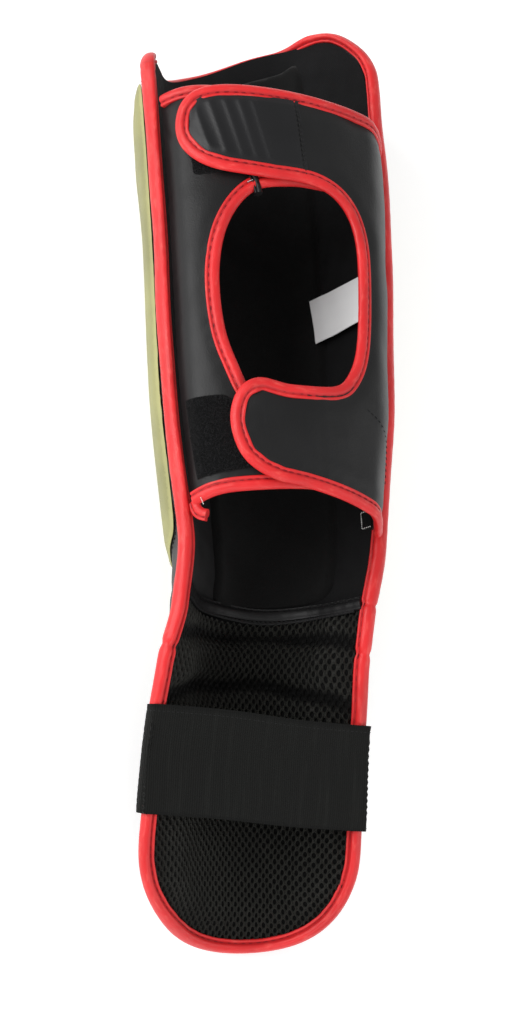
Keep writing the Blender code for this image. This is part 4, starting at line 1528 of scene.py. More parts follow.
@dataclass
class Shell:
    """The padded shell: foam pads under a black cover, linings, and the binding round it."""

    form: Form
    step: float = 0.0027
    tuck: float = 0.0016
    piping: tuple[float, float] = (0.007, 0.008)
    lining: float = 0.0017
    panel: float = 0.0022
    gap: float = 0.0004
    # width, height
    band: tuple[float, float] = (0.0056, 0.0032)
    band_start: float = 0.002
    band_middle: float = 0.0026
    cord: float = 0.0014
    cord_middle: float = 0.0036
    panel_round: float = 0.0034
    # side, distance along
    kinks: tuple[tuple[int, float], ...] = ((-1, 0.270), (-1, 0.298), (1, 0.285), (1, 0.306))

    def pads(self) -> None:
        """Foam pads of shin and instep under their cover."""
        form = self.form
        inner = inset(form.edge(EDGE_STEP), self.tuck)
        ankle = form.shin_length - self.band_start
        for name, above in (("shin_pad", False), ("instep_pad", True)):
            cut = Cut.of(trimmed(inner, 1, ankle + (self.gap if above else 0), above), self.step)

            def back(d: Array, s: Array, cut: Cut = cut) -> Array:
                """Outer face, gathered a little along its sewn edge."""
                gather = np.exp(-cut.margin / 0.006) * 0.0004 * np.sin((s + np.abs(d) * 0.3) / 0.0021)
                return form.back(d, s) + gather + 0.00035 * ripple(d, s, 0.05, 11)

            pad = slab(name, cut, form.shell, back, 0.0002)
            dressed(pad, Palette.COVER, [name], "black_cover")

    def linings(self) -> None:
        """Thin lining of the trough and the raised panel on it."""
        form = self.form
        edge = form.edge(EDGE_STEP)
        inner = inset(edge, (self.tuck + 0.0008 - 0.0022 * self.turned(*edge.T))[:, None])
        cut = Cut.of(trimmed(inner, 1, form.shin_length - 0.001, False), self.step)

        def face(d: Array, s: Array) -> Array:
            """Upper face with soft folds over the bend of the trough."""
            fold = 0.0003 * ripple(d, s, 0.045, 21) + 0.0002 * ripple(d, s, 0.014, 22)
            return self.gap + self.lining + fold * smooth(0, 0.01, cut.margin)

        lining = slab("shin_lining", cut, form.shell, 0.0001, face)
        dressed(lining, Palette.LINING, ["shin_lining"], "black_cloth")
        cut_panel = Cut.of(curve(self.panel_outline(), 0.003, closed=True), 0.0022)
        low = self.gap + self.lining

        def raised(d: Array, s: Array) -> Array:
            """Upper face of the panel, rounded off at its sewn edge.

            Args:
                d: Distances across.
                s: Distances along.

            Returns:
                The heights.
            """
            t = np.clip(cut_panel.margin / self.panel_round, 0, 1)
            edge = np.sqrt(1 - (1 - t) ** 2)
            soft = 0.00035 * ripple(d, s, 0.040, 23) + 0.0002 * ripple(d, s, 0.016, 24)
            return low + 0.0002 + (self.panel + 0.0004) * edge + soft * t

        panel = slab("lining_panel", cut_panel, form.shell, low - 0.0003, raised)
        dressed(panel, Palette.PANEL, ["lining_panel"], "black_cloth")

    def panel_outline(self) -> Array:
        """Outline of the raised panel, whose corners are rounded.

        Returns:
            Its corners (across, along).
        """
        form = self.form
        half = float(form.half_width(0.0))
        bottom = form.shin_length - 0.005
        low = float(form.half_width(bottom))
        left = [(-0.26, s) for s in (0.235, 0.16, 0.09, 0.03)]
        points = [(u * (half + (low - half) * s / bottom), s) for u, s in left]
        points += [(u * half, float(form.top(u)) + 0.013) for u in (-0.24, -0.1, 0.05, 0.22, 0.40, 0.53)]
        points += [(0.565 * half, 0.0), (0.575 * half, 0.08), (0.59 * half, 0.16), (0.592 * half, 0.215)]
        points += [(0.695 * low, bottom - 0.014), (0.64 * low, bottom - 0.003), (0.50 * low, bottom)]
        points += [(0.0, bottom + 0.001), (-0.27 * low, bottom)]
        return np.array(points[::-1])

    def binding(self) -> None:
        """Red binding round the whole edge."""
        form = self.form
        path = form.edge(TAPE_STEP)
        share = path[:, 0] / form.half_width(path[:, 1])
        left = smooth(0.55, 0.97, -share)
        knee = 1 - smooth(0.21, 0.25, path[:, 1])
        slim = 0.26 * smooth(0.9, 0.99, -share) * knee + 0.22 * smooth(0.55, 0.75, share) * knee
        roll = left * (radians(26) + radians(16) * smooth(-0.01, 0.05, path[:, 1]))
        run = np.arange(len(path)) * float(lengths(path).mean())
        kinks = []
        for side, s in self.kinks:
            near = np.abs(path[:, 1] - s) + (np.sign(path[:, 0]) != side)
            kinks.append(float(run[np.argmin(near)]))
        Tape(
            "shell_piping", path, form.shell, *self.piping, closed=True, nodes=("shell_piping",), groove=0.46,
            roll=roll, thin=self.turned(*path.T), kinks=tuple(kinks), slim=slim,
        ).build()

    def turned(self, d: Array, s: Array) -> Array:
        """Share by which the top edge is turned away from the leg."""
        share = d / float(self.form.half_width(0.0))
        return smooth(-0.95, -0.80, share) * (1 - smooth(0.35, 0.62, share)) * (1 - smooth(-0.002, 0.004, s))

    def ankle(self) -> None:
        """Satin band over the joint of the two linings, with a thin cord below it."""
        form = self.form
        half = float(form.half_width(form.shin_length)) - 0.0034
        middle = form.shin_length - self.band_start + self.band[0] / 2
        x = np.linspace(half, -half, 160)
        bow = 0.0035 * (x / half) ** 2 - 0.0024
        path = np.stack([x, middle + bow + 0.0005 * np.sin(x / 0.021) + 0.0002 * np.sin(x / 0.007)], 1)
        Tape(
            "ankle_band", path, form.shell, self.band[0] + 0.0014, self.band[1] + 0.0006,
            middle=self.band_middle, profile=ROLLED_BAND, groove=0.62, pitch=0.0034, nodes=("ankle_band",),
            finish=Palette.COVER, thread=Palette.BLACK_THREAD, slot="black_cover", seed=9, pucker=0.0006,
        ).build()
        Tape(
            "ankle_cord", path[4:-4] + (0, self.band[0] / 2 + 0.0012), form.shell, self.cord, self.cord,
            middle=self.cord_middle, groove=0.0, pitch=0.0024, finish=Palette.BLACK_THREAD,
            thread=Palette.BLACK_THREAD, slot="black_cover", seed=10, pucker=0.0001,
        ).build()

    def build(self) -> None:
        """Make all pieces of the shell."""
        self.pads()
        self.linings()
        self.binding()
        self.ankle()


@dataclass
class Cushion:
    """Stuffed pad sewn on the outside of the shell, swollen by a cloth simulation."""

    form: Form
    name: str
    outline: Array
    finish: Palette
    slot: str
    thickness: Callable[[Array, Array], Array]
    step: float = 0.0034
    cap: float = 0.0012
    pressure: float = 2.0
    gap: float = 0.0004
    frames: int = 20

    def start(self) -> Thing:
        """Slightly smaller pad, opened out flat, with its sewn side up.

        Returns:
            The flat pad.
        """
        cut = Cut.of(self.outline, self.step)
        x, y = cut.points.T
        thick = self.thickness(x, y) * 0.9
        points = np.vstack([np.stack([x, y, 0 * x], 1), np.stack([x, y, -thick], 1)])
        return solid(self.name, points, sheet_faces(cut), points)

    def swell(self, thing: Thing) -> None:
        """Let the cover swell under the pressure of its filling.

        Args:
            thing: The mesh object of the pad.
        """
        scene = bpy.context.scene
        before = np.array([v.co for v in thing.data.vertices])
        held = thing.vertex_groups.new(name="sewn")
        sewn = [int(i) for i in np.flatnonzero(before[:, 2] > -1e-6)]
        held.add(sewn, 1.0, "REPLACE")
        cloth = thing.modifiers.new("cloth", "CLOTH")
        cloth.settings.use_pressure = True
        cloth.settings.uniform_pressure_force = self.pressure
        cloth.settings.effector_weights.gravity = 0
        cloth.settings.vertex_group_mass = "sewn"
        cloth.settings.quality = 5
        cloth.point_cache.frame_start, cloth.point_cache.frame_end = 1, self.frames
        for number in range(1, self.frames + 1):
            scene.frame_set(number)
        graph = bpy.context.evaluated_depsgraph_get()
        after = np.array([v.co for v in thing.evaluated_get(graph).data.vertices])
        thing.modifiers.clear()
        scene.frame_set(1)
        move = after - before
        far = np.linalg.norm(move, axis=1, keepdims=True)
        move *= np.minimum(1, self.cap / np.maximum(far, 1e-9))
        thing.data.vertices.foreach_set("co", (before + move).astype(np.float32).ravel())
        LOG.info("%s swelled by up to %.1f mm", self.name, np.linalg.norm(move, axis=1).max() * 1000)

    def build(self) -> None:
        """Make the pad and sew it on."""
        thing = self.start()
        self.swell(thing)
        finer = thing.modifiers.new("finer", "SUBSURF")
        finer.levels = finer.render_levels = 1
        co, faces = taken(evaluated(thing))
        bpy.data.objects.remove(thing)
        x, y = co[:, 0], co[:, 1]
        near, _ = to_outline(co[:, :2], self.outline)
        depth = np.minimum(co[:, 2], 0.0) * (0.70 + 0.30 * smooth(0, 0.005, near + np.abs(co[:, 2]) * 0.3))
        height = self.form.back(x, y) - self.gap + depth
        points = self.form.shell(x, y, height)
        points[:, 2] = np.maximum(points[:, 2], 0.0)
        flat = np.stack([x, y, height], 1)
        pad = solid(self.name, points, faces, flat, margin=near + 0.004 * (co[:, 2] < -0.002))
        dressed(pad, self.finish, [self.name], self.slot)
        line = inset(ring(self.outline, 0.003), -0.0012)
        seam = np.vstack([line, line[:1]])
        sewn_line(
            f"{self.name}_seam", seam, self.form.shell, lambda d, s: self.form.back(d, s) - 0.0002,
            Palette.BLACK_THREAD,
        )


@dataclass
class Cushions:
    """The olive pad on the shin and the plain one on the instep."""

    form: Form
    crown: float = 0.0125
    edge: float = 0.0014
    start: float = 0.002
    end: float = 0.016
    spread: float = 0.93
    # power of the crown's fall to the sides: at the knee, at the ankle
    full: tuple[float, float] = (1.2, 4.0)
    # where that change starts and ends, along the guard
    taper: tuple[float, float] = (0.0, 0.12)
    thin: float = 0.20
    rounding: float = 0.030
    instep_share: float = 0.60
    instep_end: float = 0.017
    # at the rim, and what the crown adds
    instep_height: tuple[float, float] = (0.002, 0.0065)

    def build(self) -> None:
        """Make both pads."""
        form = self.form
        start, end = self.start, form.shin_length - self.end
        right = []
        for share, run in FRONT_PAD_ROWS:
            s = start + run * (end - start)
            right.append((share * self.spread * float(form.half_width(s)), s))
        left = [(-x, y) for x, y in reversed(right)]
        outline = curve(right + left, EDGE_STEP, closed=True)

        def olive(d: Array, s: Array) -> Array:
            """Thickness of the olive pad.

            Args:
                d: Distances across.
                s: Distances along.

            Returns:
                The thicknesses.
            """
            share = np.abs(d) / (self.spread * form.half_width(s))
            ends = np.minimum(s - start, end - s)
            ankle = smooth(*self.taper, s)
            power = self.full[0] + (self.full[1] - self.full[0]) * ankle
            crown = np.clip(1 - share ** 2, 0, 1) ** power
            crown = crown * np.sqrt(smooth(0, self.rounding, ends) * 0.9 + 0.1)
            return self.edge + (self.crown - self.edge) * crown * (1 - self.thin * ankle)

        Cushion(form, "front_pad", outline, Palette.OLIVE, "olive_cover", olive).build()
        wide, toe = self.instep_share * form.instep_half_width, form.total - self.instep_end
        begin, depth = form.shin_length + form.bend_length, self.instep_share * form.toe_depth
        round_end = [(wide * cos(a), toe - depth + depth * sin(a)) for a in np.linspace(0, pi, 17)]
        corners = ((-0.96, 0.002), (-0.7, -0.002), (0.7, -0.002), (0.96, 0.002))
        corners = [(wide * u, begin + v) for u, v in corners]
        outline = curve(round_end + corners, EDGE_STEP, closed=True)

        def plain(d: Array, s: Array) -> Array:
            """Thickness of the instep pad.

            Args:
                d: Distances across.
                s: Distances along.

            Returns:
                The thicknesses.
            """
            share = np.abs(d) / wide
            crown = np.sqrt(np.clip(1.05 - share ** 2, 0, 1)) * (0.5 + 0.5 * smooth(0, 0.02, s - begin))
            return self.instep_height[0] + self.instep_height[1] * crown

        Cushion(
            form, "instep_front_pad", outline, Palette.COVER, "black_cover", plain, cap=0.002,
        ).build()


@dataclass
class AirMesh:
    """Padded net over the instep: yarn with oval holes over a dark ground."""

    form: Form
    across: float = 0.0040
    along: float = 0.0048
    # half width, half length
    hole: tuple[float, float] = (0.00100, 0.00150)
    depth: float = 0.0012
    start: float = 0.0046
    tuck: float = 0.0016
    reach: int = 18
    step: float = 0.0030
    # how far the yarn is moved, and length of those waves
    uneven: tuple[float, float] = (0.00022, 0.011)

    def cell(self) -> Thing:
        """One cell of the net, flat, from its border to the wall of its hole.

        Returns:
            The cell, which isn't in the scene.
        """
        wide, high = self.across / 2, self.along / 2
        low = (wide ** 2 + high ** 2) / 2
        side, tip = (low - wide ** 2) / high, low / high
        corner = [(wide, side), (0, tip), (-wide, side), (-wide, -side), (0, -tip), (wide, -side)]
        border = []
        for k, (a, b) in enumerate(zip(corner, corner[1:] + corner[:1])):
            border.append(a)
            if k not in (2, 5):
                border.append(((a[0] + b[0]) / 2, (a[1] + b[1]) / 2))
        border = np.array(border)
        turn = np.arctan2(border[:, 1] / self.hole[1], border[:, 0] / self.hole[0])
        hole = np.stack([np.cos(turn) * self.hole[0], np.sin(turn) * self.hole[1]], 1)
        rings = [(border, -0.00034), (hole * 1.26, 0.00014), (hole, -0.00020), (hole * 0.90, -self.depth)]
        points = np.vstack([np.column_stack([loop, np.full(len(loop), z)]) for loop, z in rings])
        count = len(border)
        faces = []
        for r in range(3):
            for k in range(count):
                n = (k + 1) % count
                faces.append((r * count + k, r * count + n, (r + 1) * count + n, (r + 1) * count + k))
        mesh = bpy.data.meshes.new("net_cell")
        mesh.from_pydata(points.tolist(), [], faces)
        return bpy.data.objects.new("net_cell", mesh)

    def build(self) -> None:
        """Make the ground and the net."""
        form = self.form
        begin = form.shin_length + self.start
        inner = trimmed(inset(form.edge(EDGE_STEP), self.tuck), 1, begin, True)
        cut = Cut.of(inner, self.step)
        ground = slab(
            "instep_mesh", cut, form.shell, 0.0001, lambda d, s: form.mesh_face(d, s) - self.depth + 0.0002,
        )
        dressed(ground, Palette.UNDER_NET, ["instep_mesh"], "air_mesh")
        rows = np.arange(begin - 0.001, form.total, self.along / 2)
        half = np.arange(-self.reach, self.reach + 1) * self.across
        grid = np.vstack([
            np.column_stack([half + self.across / 2 * (k % 2), np.full(len(half), s)])
            for k, s in enumerate(rows)
        ])
        near, inside = to_outline(grid, inner)
        grid = grid[inside & (near > 0.0004)]
        cell = self.cell()
        spots = np.column_stack([grid, np.zeros(len(grid))])
        net = Repeat(Shape.NET_CELL, 0, 0, 0).lay("instep_net", spots, Palette.NET, cell=cell)
        bpy.data.objects.remove(cell)
        co, faces = taken(net.data)
        bpy.data.objects.remove(net)
        far, size = self.uneven
        x = co[:, 0] + far * ripple(co[:, 0], co[:, 1], size, 31)
        y = co[:, 1] + far * ripple(co[:, 0], co[:, 1], size, 32)
        height = form.mesh_face(x, y)
        points = form.shell(x, y, height + co[:, 2])
        # painted shade mask: 0 deep in each hole, where the yarn is darkened, 1 on the crests
        crest = smooth(-0.0006, 0.00012, co[:, 2])
        # painted shade mask of the two cross creases, where the yarn's material darkens it
        fold = 0.95 * (1 - smooth(0.14, 0.42, form.swell(x, y)))
        fold *= smooth(form.shin_length + 0.008, form.shin_length + 0.012, y)
        made = solid("instep_net", points, faces, np.column_stack([x, y, co[:, 2]]), crest=crest, fold=fold)
        if self.upside_down(made):
            made.data.flip_normals()
        dressed(made, Palette.NET, (), "air_mesh")

    def upside_down(self, thing: Thing) -> bool:
        """Whether most of the net's faces look away from the leg."""
        return sum(p.normal.z * p.area for p in thing.data.polygons) < 0


@dataclass
class Wraps:
    """Calf panels with their bindings, fastening patches and the ribbed patch."""

    form: Form
    thickness: float = 0.003
    tape: tuple[float, float] = (0.0069, 0.0045)
    tuck: float = 0.0020
    patch: float = 0.0005
    sewn: float = 0.0030
    # share across, slant
    patch_end: tuple[float, float] = (0.02, 0.09)
    left_seed: int = 41
    right_seed: int = 51
    ribs: tuple[float, ...] = (-0.64, -0.54, -0.44, -0.35, -0.26)
    slant: float = 0.24
    # height, width
    rib: tuple[float, float] = (0.0008, 0.0036)
    rib_share: float = 0.42
    crease: float = 0.0011
    # width, height of the short tapes
    joint: tuple[float, float] = (0.0044, 0.0056)
    curled: tuple[float, float] = (0.0058, 0.0040)
    # length, width, height
    loop: tuple[float, float, float] = (0.0013, 0.0011, 0.0008)
    loop_spread: float = 0.35
    patch_seam: float = 0.0016
    # height, length
    waves: tuple[tuple[float, float], ...] = ((0.00040, 0.060), (0.00014, 0.020))

    def wrap(self, name: str, rows: Rows, side: int, surface: Surface, seed: int) -> None:
        """One calf panel and its binding.

        Args:
            name: Name of the panel.
            rows: Its binding's path, with the panel to the left of it.
            side: -1 for the left side edge, 1 for the right one.
            surface: The surface that it lies on.
            seed: Which soft waves it has.
        """
        form = self.form
        path = curve(form.on_calf(rows), TAPE_STEP)
        inner = inset(path[::4], self.tuck, closed=False)
        reach = side * (form.calf_half - self.sewn)
        beyond = side * 1.2 * form.calf_half
        closing = np.array([(beyond, inner[-1][1]), (beyond, inner[0][1])])
        outline = trimmed(np.vstack([inner, closing]), 0, reach, side < 0)
        cut = Cut.of(outline, 0.0026)

        def face(x: Array, s: Array) -> Array:
            """Outer face: full in the middle, pulled down by the binding.

            Args:
                x: Distances across.
                s: Distances along.

            Returns:
                The heights.
            """
            gather = 0.00014 * np.exp(-cut.margin / 0.004) * np.sin((x + s) / 0.0016)
            pulled = 0.0006 * (1 - smooth(0.001, 0.008, cut.margin))
            return self.cover(x, s, seed) - pulled + gather + self.creases(name, x, s)

        panel = slab(name, cut, surface, self.underside, face)
        dressed(panel, Palette.COVER, [name], "black_cover")
        Tape(
            f"{name}_piping", path, surface, *self.tape, middle=self.thickness / 2, nodes=(f"{name}_piping",),
            groove=0.42, seed=seed + 2,
        ).build()

    def cover(self, x: Array, s: Array, seed: int) -> Array:
        """Height of a wrap's soft outer face, thinner where it is sewn to the shell.

        Args:
            x: Distances across.
            s: Distances along.
            seed: Which soft waves it has.

        Returns:
            The heights.
        """
        away = self.form.calf_half - self.sewn - np.abs(x)
        (high, size), (low, small) = self.waves
        soft = high * ripple(x, s, size, seed) + low * ripple(x, s, small, seed + 1)
        return (self.thickness + soft) * (0.35 + 0.65 * smooth(0.0, 0.012, away))

    def underside(self, x: Array, s: Array) -> Array:
        """Height of a wrap's underside, which goes down to the shell's binding at the side."""
        return -0.0012 * (1 - smooth(0.0, 0.012, self.form.calf_half - self.sewn - np.abs(x)))

    def creases(self, name: str, x: Array, s: Array) -> Array:
        """Small wrinkles pressed into the cover where it is pulled.

        Args:
            name: Name of the wrap.
            x: Distances across.
            s: Distances along.

        Returns:
            The height of the wrinkles at each place.
        """
        depth = np.zeros_like(x)
        for u, value, turn, length, high in CREASES[name]:
            a, b = x - u * self.form.calf_half, s - self.form.level(value)
            along = a * cos(radians(turn)) + b * sin(radians(turn))
            across = -a * sin(radians(turn)) + b * cos(radians(turn))
            depth += high * np.exp(-(across / self.crease) ** 2 - (along / length) ** 2)
        return depth

    def loop_patch(self, name: str, rows: Rows, count: int, seed: int) -> None:
        """Fastening patch: a dark ground with a pile of small loops.

        Args:
            name: Name of the piece.
            rows: Its outline in shares and levels.
            count: How many loops are tried.
            seed: Which soft waves it has.
        """
        form = self.form
        outline = ring(form.on_calf(rows), 0.003)
        cut = Cut.of(outline, 0.0028)

        def low(x: Array, s: Array) -> Array:
            """Face of the wrap under the patch."""
            return self.cover(x, s, self.left_seed)

        ground = slab(
            name, cut, form.wraps, lambda x, s: low(x, s) - 0.0006,
            lambda x, s: low(x, s) + 0.0005 + 0.0001 * ripple(x, s, 0.006, seed),
        )
        dressed(ground, Palette.PILE_GROUND, [name], "loop_cloth")
        rng = np.random.default_rng(seed)
        spread = rng.uniform(outline.min(0), outline.max(0), (count, 2))
        near, inside = to_outline(spread, outline)
        x, y = spread[inside & (near > 0.0002)].T
        spots = form.wraps(x, y, low(x, y) + 0.0003)
        up = (form.wraps(x, y, low(x, y) + 0.0013) - spots) / PROBE
        ahead = (form.wraps(x, y + PROBE, low(x, y) + 0.0003) - spots) / PROBE
        aside = np.cross(up, ahead)
        turn = rng.uniform(0, 2 * pi, len(x))[:, None]
        run = ahead * np.cos(turn) + aside * np.sin(turn)
        up = up + 0.5 * rng.normal(size=up.shape)
        pile = Repeat(Shape.PILE_LOOP, *self.loop, self.loop_spread, seed)
        dressed(pile.lay(f"{name}_pile", spots, Palette.PILE, run, up), Palette.PILE, (), "loop_cloth")

    def ribbed_patch(self) -> None:
        """Moulded patch on the upper strap, with slanting ribs and a sewn end."""
        form = self.form
        inner = inset(curve(form.on_calf(RIGHT_WRAP[::-1]), 0.0010), 0.0022, closed=False)
        strap = trimmed(trimmed(inner, 1, form.level(1), False), 0, self.patch_end[0] * form.calf_half, False)
        slanted = strap[:, 0] > self.patch_end[0] * form.calf_half - 1e-6
        strap[slanted, 0] += self.patch_end[1] * (strap[slanted, 1] - form.level(0.5))
        outline = ring(strap, 0.002)
        cut = Cut.of(outline, 0.0012)

        def face(x: Array, s: Array) -> Array:
            """Outer face with its ribs, which fade out before the border.

            Args:
                x: Distances across.
                s: Distances along.

            Returns:
                The heights.
            """
            across = x - self.slant * (s - form.level(0.5))
            high = np.zeros_like(x)
            for share in self.ribs:
                away = np.abs(across - share * form.calf_half)
                high = np.maximum(high, np.exp(-(away / (self.rib[1] * self.rib_share)) ** 2))
            seam = end(s) - x
            border = np.minimum(smooth(0.0010, 0.0035, cut.margin) + smooth(0.0020, 0.0, seam), 1)
            pressed = 0.0004 * np.exp(-((seam - self.patch_seam) / 0.0006) ** 2) + 0.0007 * (1 - border)
            ribs = self.rib[0] * high * smooth(0.0010, 0.0045, cut.margin)
            raised = self.patch * smooth(0, 0.0008, seam) + ribs
            return self.cover(x, s, self.right_seed) + raised - pressed

        def end(s: Array) -> Array:
            """Where the patch ends, at a distance along."""
            return self.patch_end[0] * form.calf_half + self.patch_end[1] * (s - form.level(0.5))

        patch = slab(
            "strap_patch", cut, form.straps, lambda x, s: self.cover(x, s, self.right_seed) - 0.0012, face,
        )
        dressed(patch, Palette.STRAP_PATCH, ["strap_patch"], "ribbed_patch")
        s = np.linspace(form.level(0.03), form.level(0.93), 20)
        sewn_line(
            "strap_patch_seam", np.stack([end(s) - self.patch_seam, s], 1), form.straps,
            lambda x, y: self.cover(x, y, self.right_seed) + self.patch, Palette.BLACK_THREAD, 0.0028, 0.0006,
        )

    def details(self) -> None:
        """Sewn line on the lower strap."""
        form = self.form
        sewn_line(
            "lower_strap_seam", curve(form.on_calf(STRAP_SEAM), 0.002), form.straps,
            self.thickness + 0.0001, Palette.BLACK_THREAD, 0.0030, 0.00055,
        )

    def ends(self) -> None:
        """Tape over the joint in the left binding, its curled lower end, and the loose threads there."""
        form = self.form
        joint = curve(form.on_calf(JOINT_LINE), SHORT_STEP)
        Tape(
            "joint_tape", joint, form.wraps, *self.joint, middle=self.thickness / 2, groove=0.0,
            pitch=0.0030, finish=Palette.COVER, thread=Palette.BLACK_THREAD, slot="black_cover", seed=7,
        ).build()
        curled = curve(form.on_calf(CURLED_LINE), SHORT_STEP)
        Tape(
            "curled_end", curled, form.wraps, *self.curled, middle=self.thickness / 2 - 0.0008, groove=0.40,
            seed=8,
        ).build()
        for name, rows in LOOSE_THREADS.items():
            line = curve(form.on_calf(rows), SHORT_STEP)
            sewn_line(name, line, form.wraps, self.thickness + 0.0010, Palette.WHITE_THREAD, 0.0009, 0.0005)

    def build(self) -> None:
        """Make both wraps and what is sewn on them."""
        form = self.form
        self.wrap("left_wrap", LEFT_WRAP, -1, form.wraps, self.left_seed)
        self.wrap("right_wrap", RIGHT_WRAP[::-1], 1, form.straps, self.right_seed)
        self.loop_patch("upper_loop_patch", UPPER_LOOP, 3000, 71)
        self.loop_patch("lower_loop_patch", LOWER_LOOP, 5200, 72)
        self.ribbed_patch()
        self.details()
        self.ends()


@dataclass
class FootStrap:
    """Wide elastic that passes under the sole."""

    elastic: Elastic
    step: float = 0.0017
    seam: float = 0.0026
    # depth, half width
    seam_groove: tuple[float, float] = (0.00022, 0.0005)
    # height, length
    waves: tuple[float, float] = (0.00045, 0.050)
    # places where its edge is turned: share, place across, half width
    turned: tuple[tuple[float, float, float], ...] = ((1.0, -0.055, 0.014), (0.6, 0.058, 0.012))

    def build(self) -> None:
        """Make the elastic and the row of stitches along its upper edge."""
        run = self.elastic
        half = run.length / 2
        start = run.at[0]
        corners = np.array([(-1, 0), (1, 0), (1, 1), (-1, 1)]) * (half, run.width) + (0, start)
        cut = Cut.of(ring(corners, self.step), self.step)

        def laid(x: Array, s: Array, h: Array) -> Array:
            """World place, from true widths across.

            Args:
                x: Distances across.
                s: Distances along.
                h: Heights above its middle.

            Returns:
                The world places.
            """
            turned = sum(share * np.exp(-((x - at) / size) ** 2) for share, at, size in self.turned)
            high, length = self.waves
            wave = high * ripple(x, s, length, 81) + 0.0006 * np.sin(s / 0.008 + 1) * turned
            deep, wide = self.seam_groove
            seam = deep * np.exp(-((s - start - self.seam) / wide) ** 2)
            moved = s + 0.0003 * np.sin(x / 0.012) + run.slant * np.clip(x / 0.05, -1, 1)
            return run.surface(x / half, moved, h + wave - seam)

        def face(x: Array, s: Array) -> Array:
            """Upper face, with a tight edge."""
            return run.thickness / 2 * (0.75 + 0.25 * smooth(0, 0.0016, cut.margin))

        line = np.array([(-half * 0.98, start + self.seam), (half * 0.98, start + self.seam)])
        sewn_line("elastic_seam", line, laid, run.thickness / 2, Palette.BLACK_THREAD, 0.0023, 0.00045)
        band = slab("elastic_band", cut, laid, lambda x, s: -face(x, s), face)
        dressed(band, Palette.ELASTIC, ["elastic_band"], "elastic")


@dataclass
class SmallParts:
    """Blank label and size tab."""

    form: Form
    label: tuple[float, float] = (0.034, 0.025)
    label_place: tuple[float, float] = (0.725, 0.422)
    label_turn: float = radians(-8)
    label_low: float = 0.0051
    label_thickness: float = 0.0004
    label_lift: float = 0.0016
    label_step: float = 0.0012
    tab_step: float = 0.001
    tab: tuple[float, float] = (0.0056, 0.0092)
    tab_aside: float = 0.0024

    def build(self) -> None:
        """Make the small parts."""
        self.care_label()
        self.size_tab()

    def care_label(self) -> None:
        """Blank label, curled up a little at its free end."""
        form = self.form
        run = self.label_place[1] * form.shin_length
        across = self.label_place[0] * float(form.half_width(run))
        a, b = cos(self.label_turn), sin(self.label_turn)
        turn = np.array([[a, -b], [b, a]])
        wide, long = self.label
        corners = np.array([(-1, -1), (1, -1), (1, 1), (-1, 1)]) * (wide / 2, long / 2)
        corners = corners @ turn.T + (across, run)
        cut = Cut.of(ring(corners, self.label_step), self.label_step)

        def under(x: Array, s: Array) -> Array:
            """Underside: the free end lifts and waves.

            Args:
                x: Distances across.
                s: Distances along.

            Returns:
                The heights.
            """
            a, b = (np.stack([x - across, s - run], 1) @ turn).T
            lifted = self.label_lift * smooth(0.002, 0.016, b) * (0.7 + 0.3 * np.sin(a / 0.006))
            return self.label_low + lifted + 0.0007 * smooth(0.004, 0.012, -a)

        label = slab(
            "care_label", cut, form.shell, under, lambda x, s: under(x, s) + self.label_thickness,
        )
        dressed(label, Palette.LABEL, ["care_label"], "label_cloth")

    def size_tab(self) -> None:
        """Small folded tab at the right edge, with light edges."""
        form = self.form
        run = form.shin_length - form.tab_place[1]
        across = form.tab_place[0] * float(form.half_width(run)) + self.tab_aside
        half = np.array(self.tab) / 2
        outline = np.array([(-1, -1), (1, -1), (1, 1), (-1, 1)]) * half + (across, run)
        cut = Cut.of(ring(outline, self.tab_step), self.tab_step)

        def face(x: Array, s: Array) -> Array:
            """Upper face of the folded tab, fuller at its fold."""
            return 0.0032 + 0.0004 * smooth(-half[1], half[1], s - run) + 0.00015 * ripple(x, s, 0.006, 91)

        tab = slab("size_tab", cut, form.shell, 0.0020, face)
        dressed(tab, Palette.PANEL, ["size_tab"], "black_cloth")
        line = np.array([(1, -1), (-1, -1), (-1, 1), (1, 1)]) * (half - 0.0004) + (across, run)
        sewn_line("size_tab_edge", line, form.shell, 0.0037, Palette.WHITE_THREAD, 0.0011, 0.0007)


LIGHTS = (
    # name, place, width and height, watts
    ("left_box", (-1.5, 0.35, 0.85), (1.4, 1.0), 30),
    ("right_box", (1.4, -0.5, 1.1), (1.2, 1.0), 8),
    ("toe_box", (-0.2, -1.6, 1.0), (1.2, 0.8), 11),
)


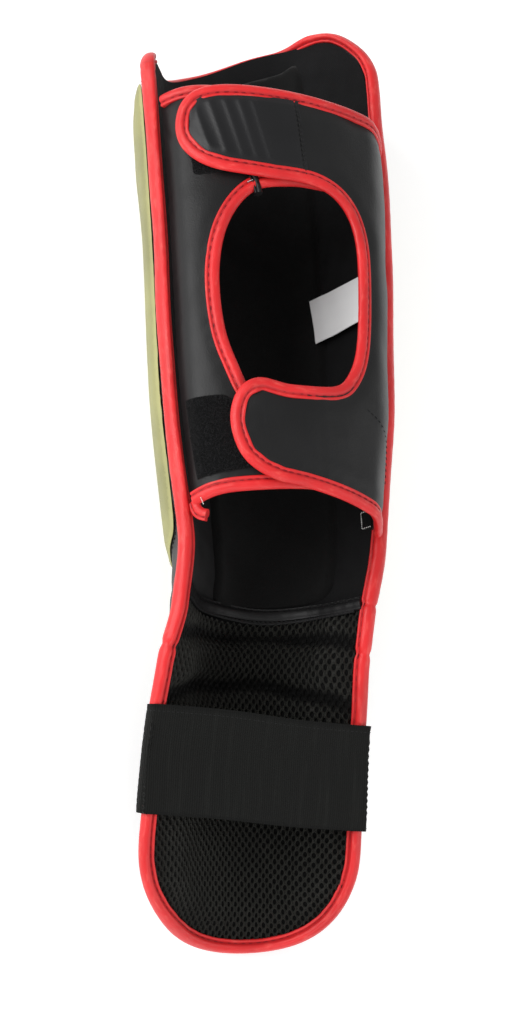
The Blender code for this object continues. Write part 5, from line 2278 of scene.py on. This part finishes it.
@dataclass(frozen=True)
class Studio:
    """Pale floor, soft lights and the camera at the photograph's angle."""

    origin: Array
    yaw: float = radians(25.435)
    pitch: float = radians(16.282)
    roll: float = radians(1.676)
    distance: float = 1.434
    lens: float = 103.205
    target: tuple[float, float, float] = (0.0, -0.270865, 0.039381)
    shift: tuple[float, float] = (6.1 / 1024, 0.76 / 1024)
    sensor: float = 36.0
    clip: tuple[float, float] = (0.1, 20.0)
    floor_half: float = 3.0
    floor_height: float = -0.0002
    ambient: float = 0.56

    def camera(self) -> None:
        """Make the camera."""
        away = np.array([-sin(self.yaw) * cos(self.pitch), -sin(self.pitch), cos(self.yaw) * cos(self.pitch)])
        right = np.cross([0, 1, 0], away)
        right /= np.linalg.norm(right)
        up = np.cross(away, right)
        basis = np.array([
            cos(self.roll) * right - sin(self.roll) * up, cos(self.roll) * up + sin(self.roll) * right, away,
        ])
        data = bpy.data.cameras.new("camera")
        data.lens, data.sensor_width = self.lens, self.sensor
        data.shift_x, data.shift_y = self.shift
        data.clip_start, data.clip_end = self.clip
        thing = linked("camera", data)
        matrix = Matrix(basis.T.tolist()).to_4x4()
        matrix.translation = Vector(self.origin + np.array(self.target) + away * self.distance)
        thing.matrix_world = matrix
        bpy.context.scene.camera = thing

    def light(self, name: str, place: tuple, size: tuple[float, float], power: float) -> None:
        """Soft box that faces the guard.

        Args:
            name: Name of the light.
            place: Where it stands.
            size: Its width and height.
            power: Its power in watts.
        """
        data = bpy.data.lights.new(name, "AREA")
        data.shape, data.size, data.size_y, data.energy = "RECTANGLE", *size, power
        thing = linked(name, data)
        thing.location = place
        thing.rotation_euler = (-Vector(place)).to_track_quat("-Z", "Y").to_euler()

    def floor(self) -> None:
        """Make the floor, which isn't part of the object."""
        mesh = bpy.data.meshes.new("floor")
        corners = [
            (i * self.floor_half, j * self.floor_half, self.floor_height)
            for i, j in ((-1, -1), (1, -1), (1, 1), (-1, 1))
        ]
        mesh.from_pydata(corners, [], [(0, 1, 2, 3)])
        thing = linked("floor", mesh)
        mesh.materials.append(Palette.FLOOR.value.material())

    def build(self) -> None:
        """Set up the studio."""
        self.camera()
        self.floor()
        for box in LIGHTS:
            self.light(*box)
        world = bpy.data.worlds.new("studio")
        world.use_nodes = True
        world.node_tree.nodes["Background"].inputs["Color"].default_value = (1, 1, 1, 1)
        world.node_tree.nodes["Background"].inputs["Strength"].default_value = self.ambient
        bpy.context.scene.world = world
        bpy.context.scene.view_settings.view_transform = "Standard"


def main() -> None:
    """Build the guard and the studio."""
    logging.basicConfig(level=logging.INFO, format="%(message)s")
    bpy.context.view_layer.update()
    form = Form()
    Studio(form.origin).build()
    Shell(form).build()
    Cushions(form).build()
    AirMesh(form).build()
    Wraps(form).build()
    FootStrap(Elastic(form)).build()
    SmallParts(form).build()


if __name__ == "__main__":
    main()
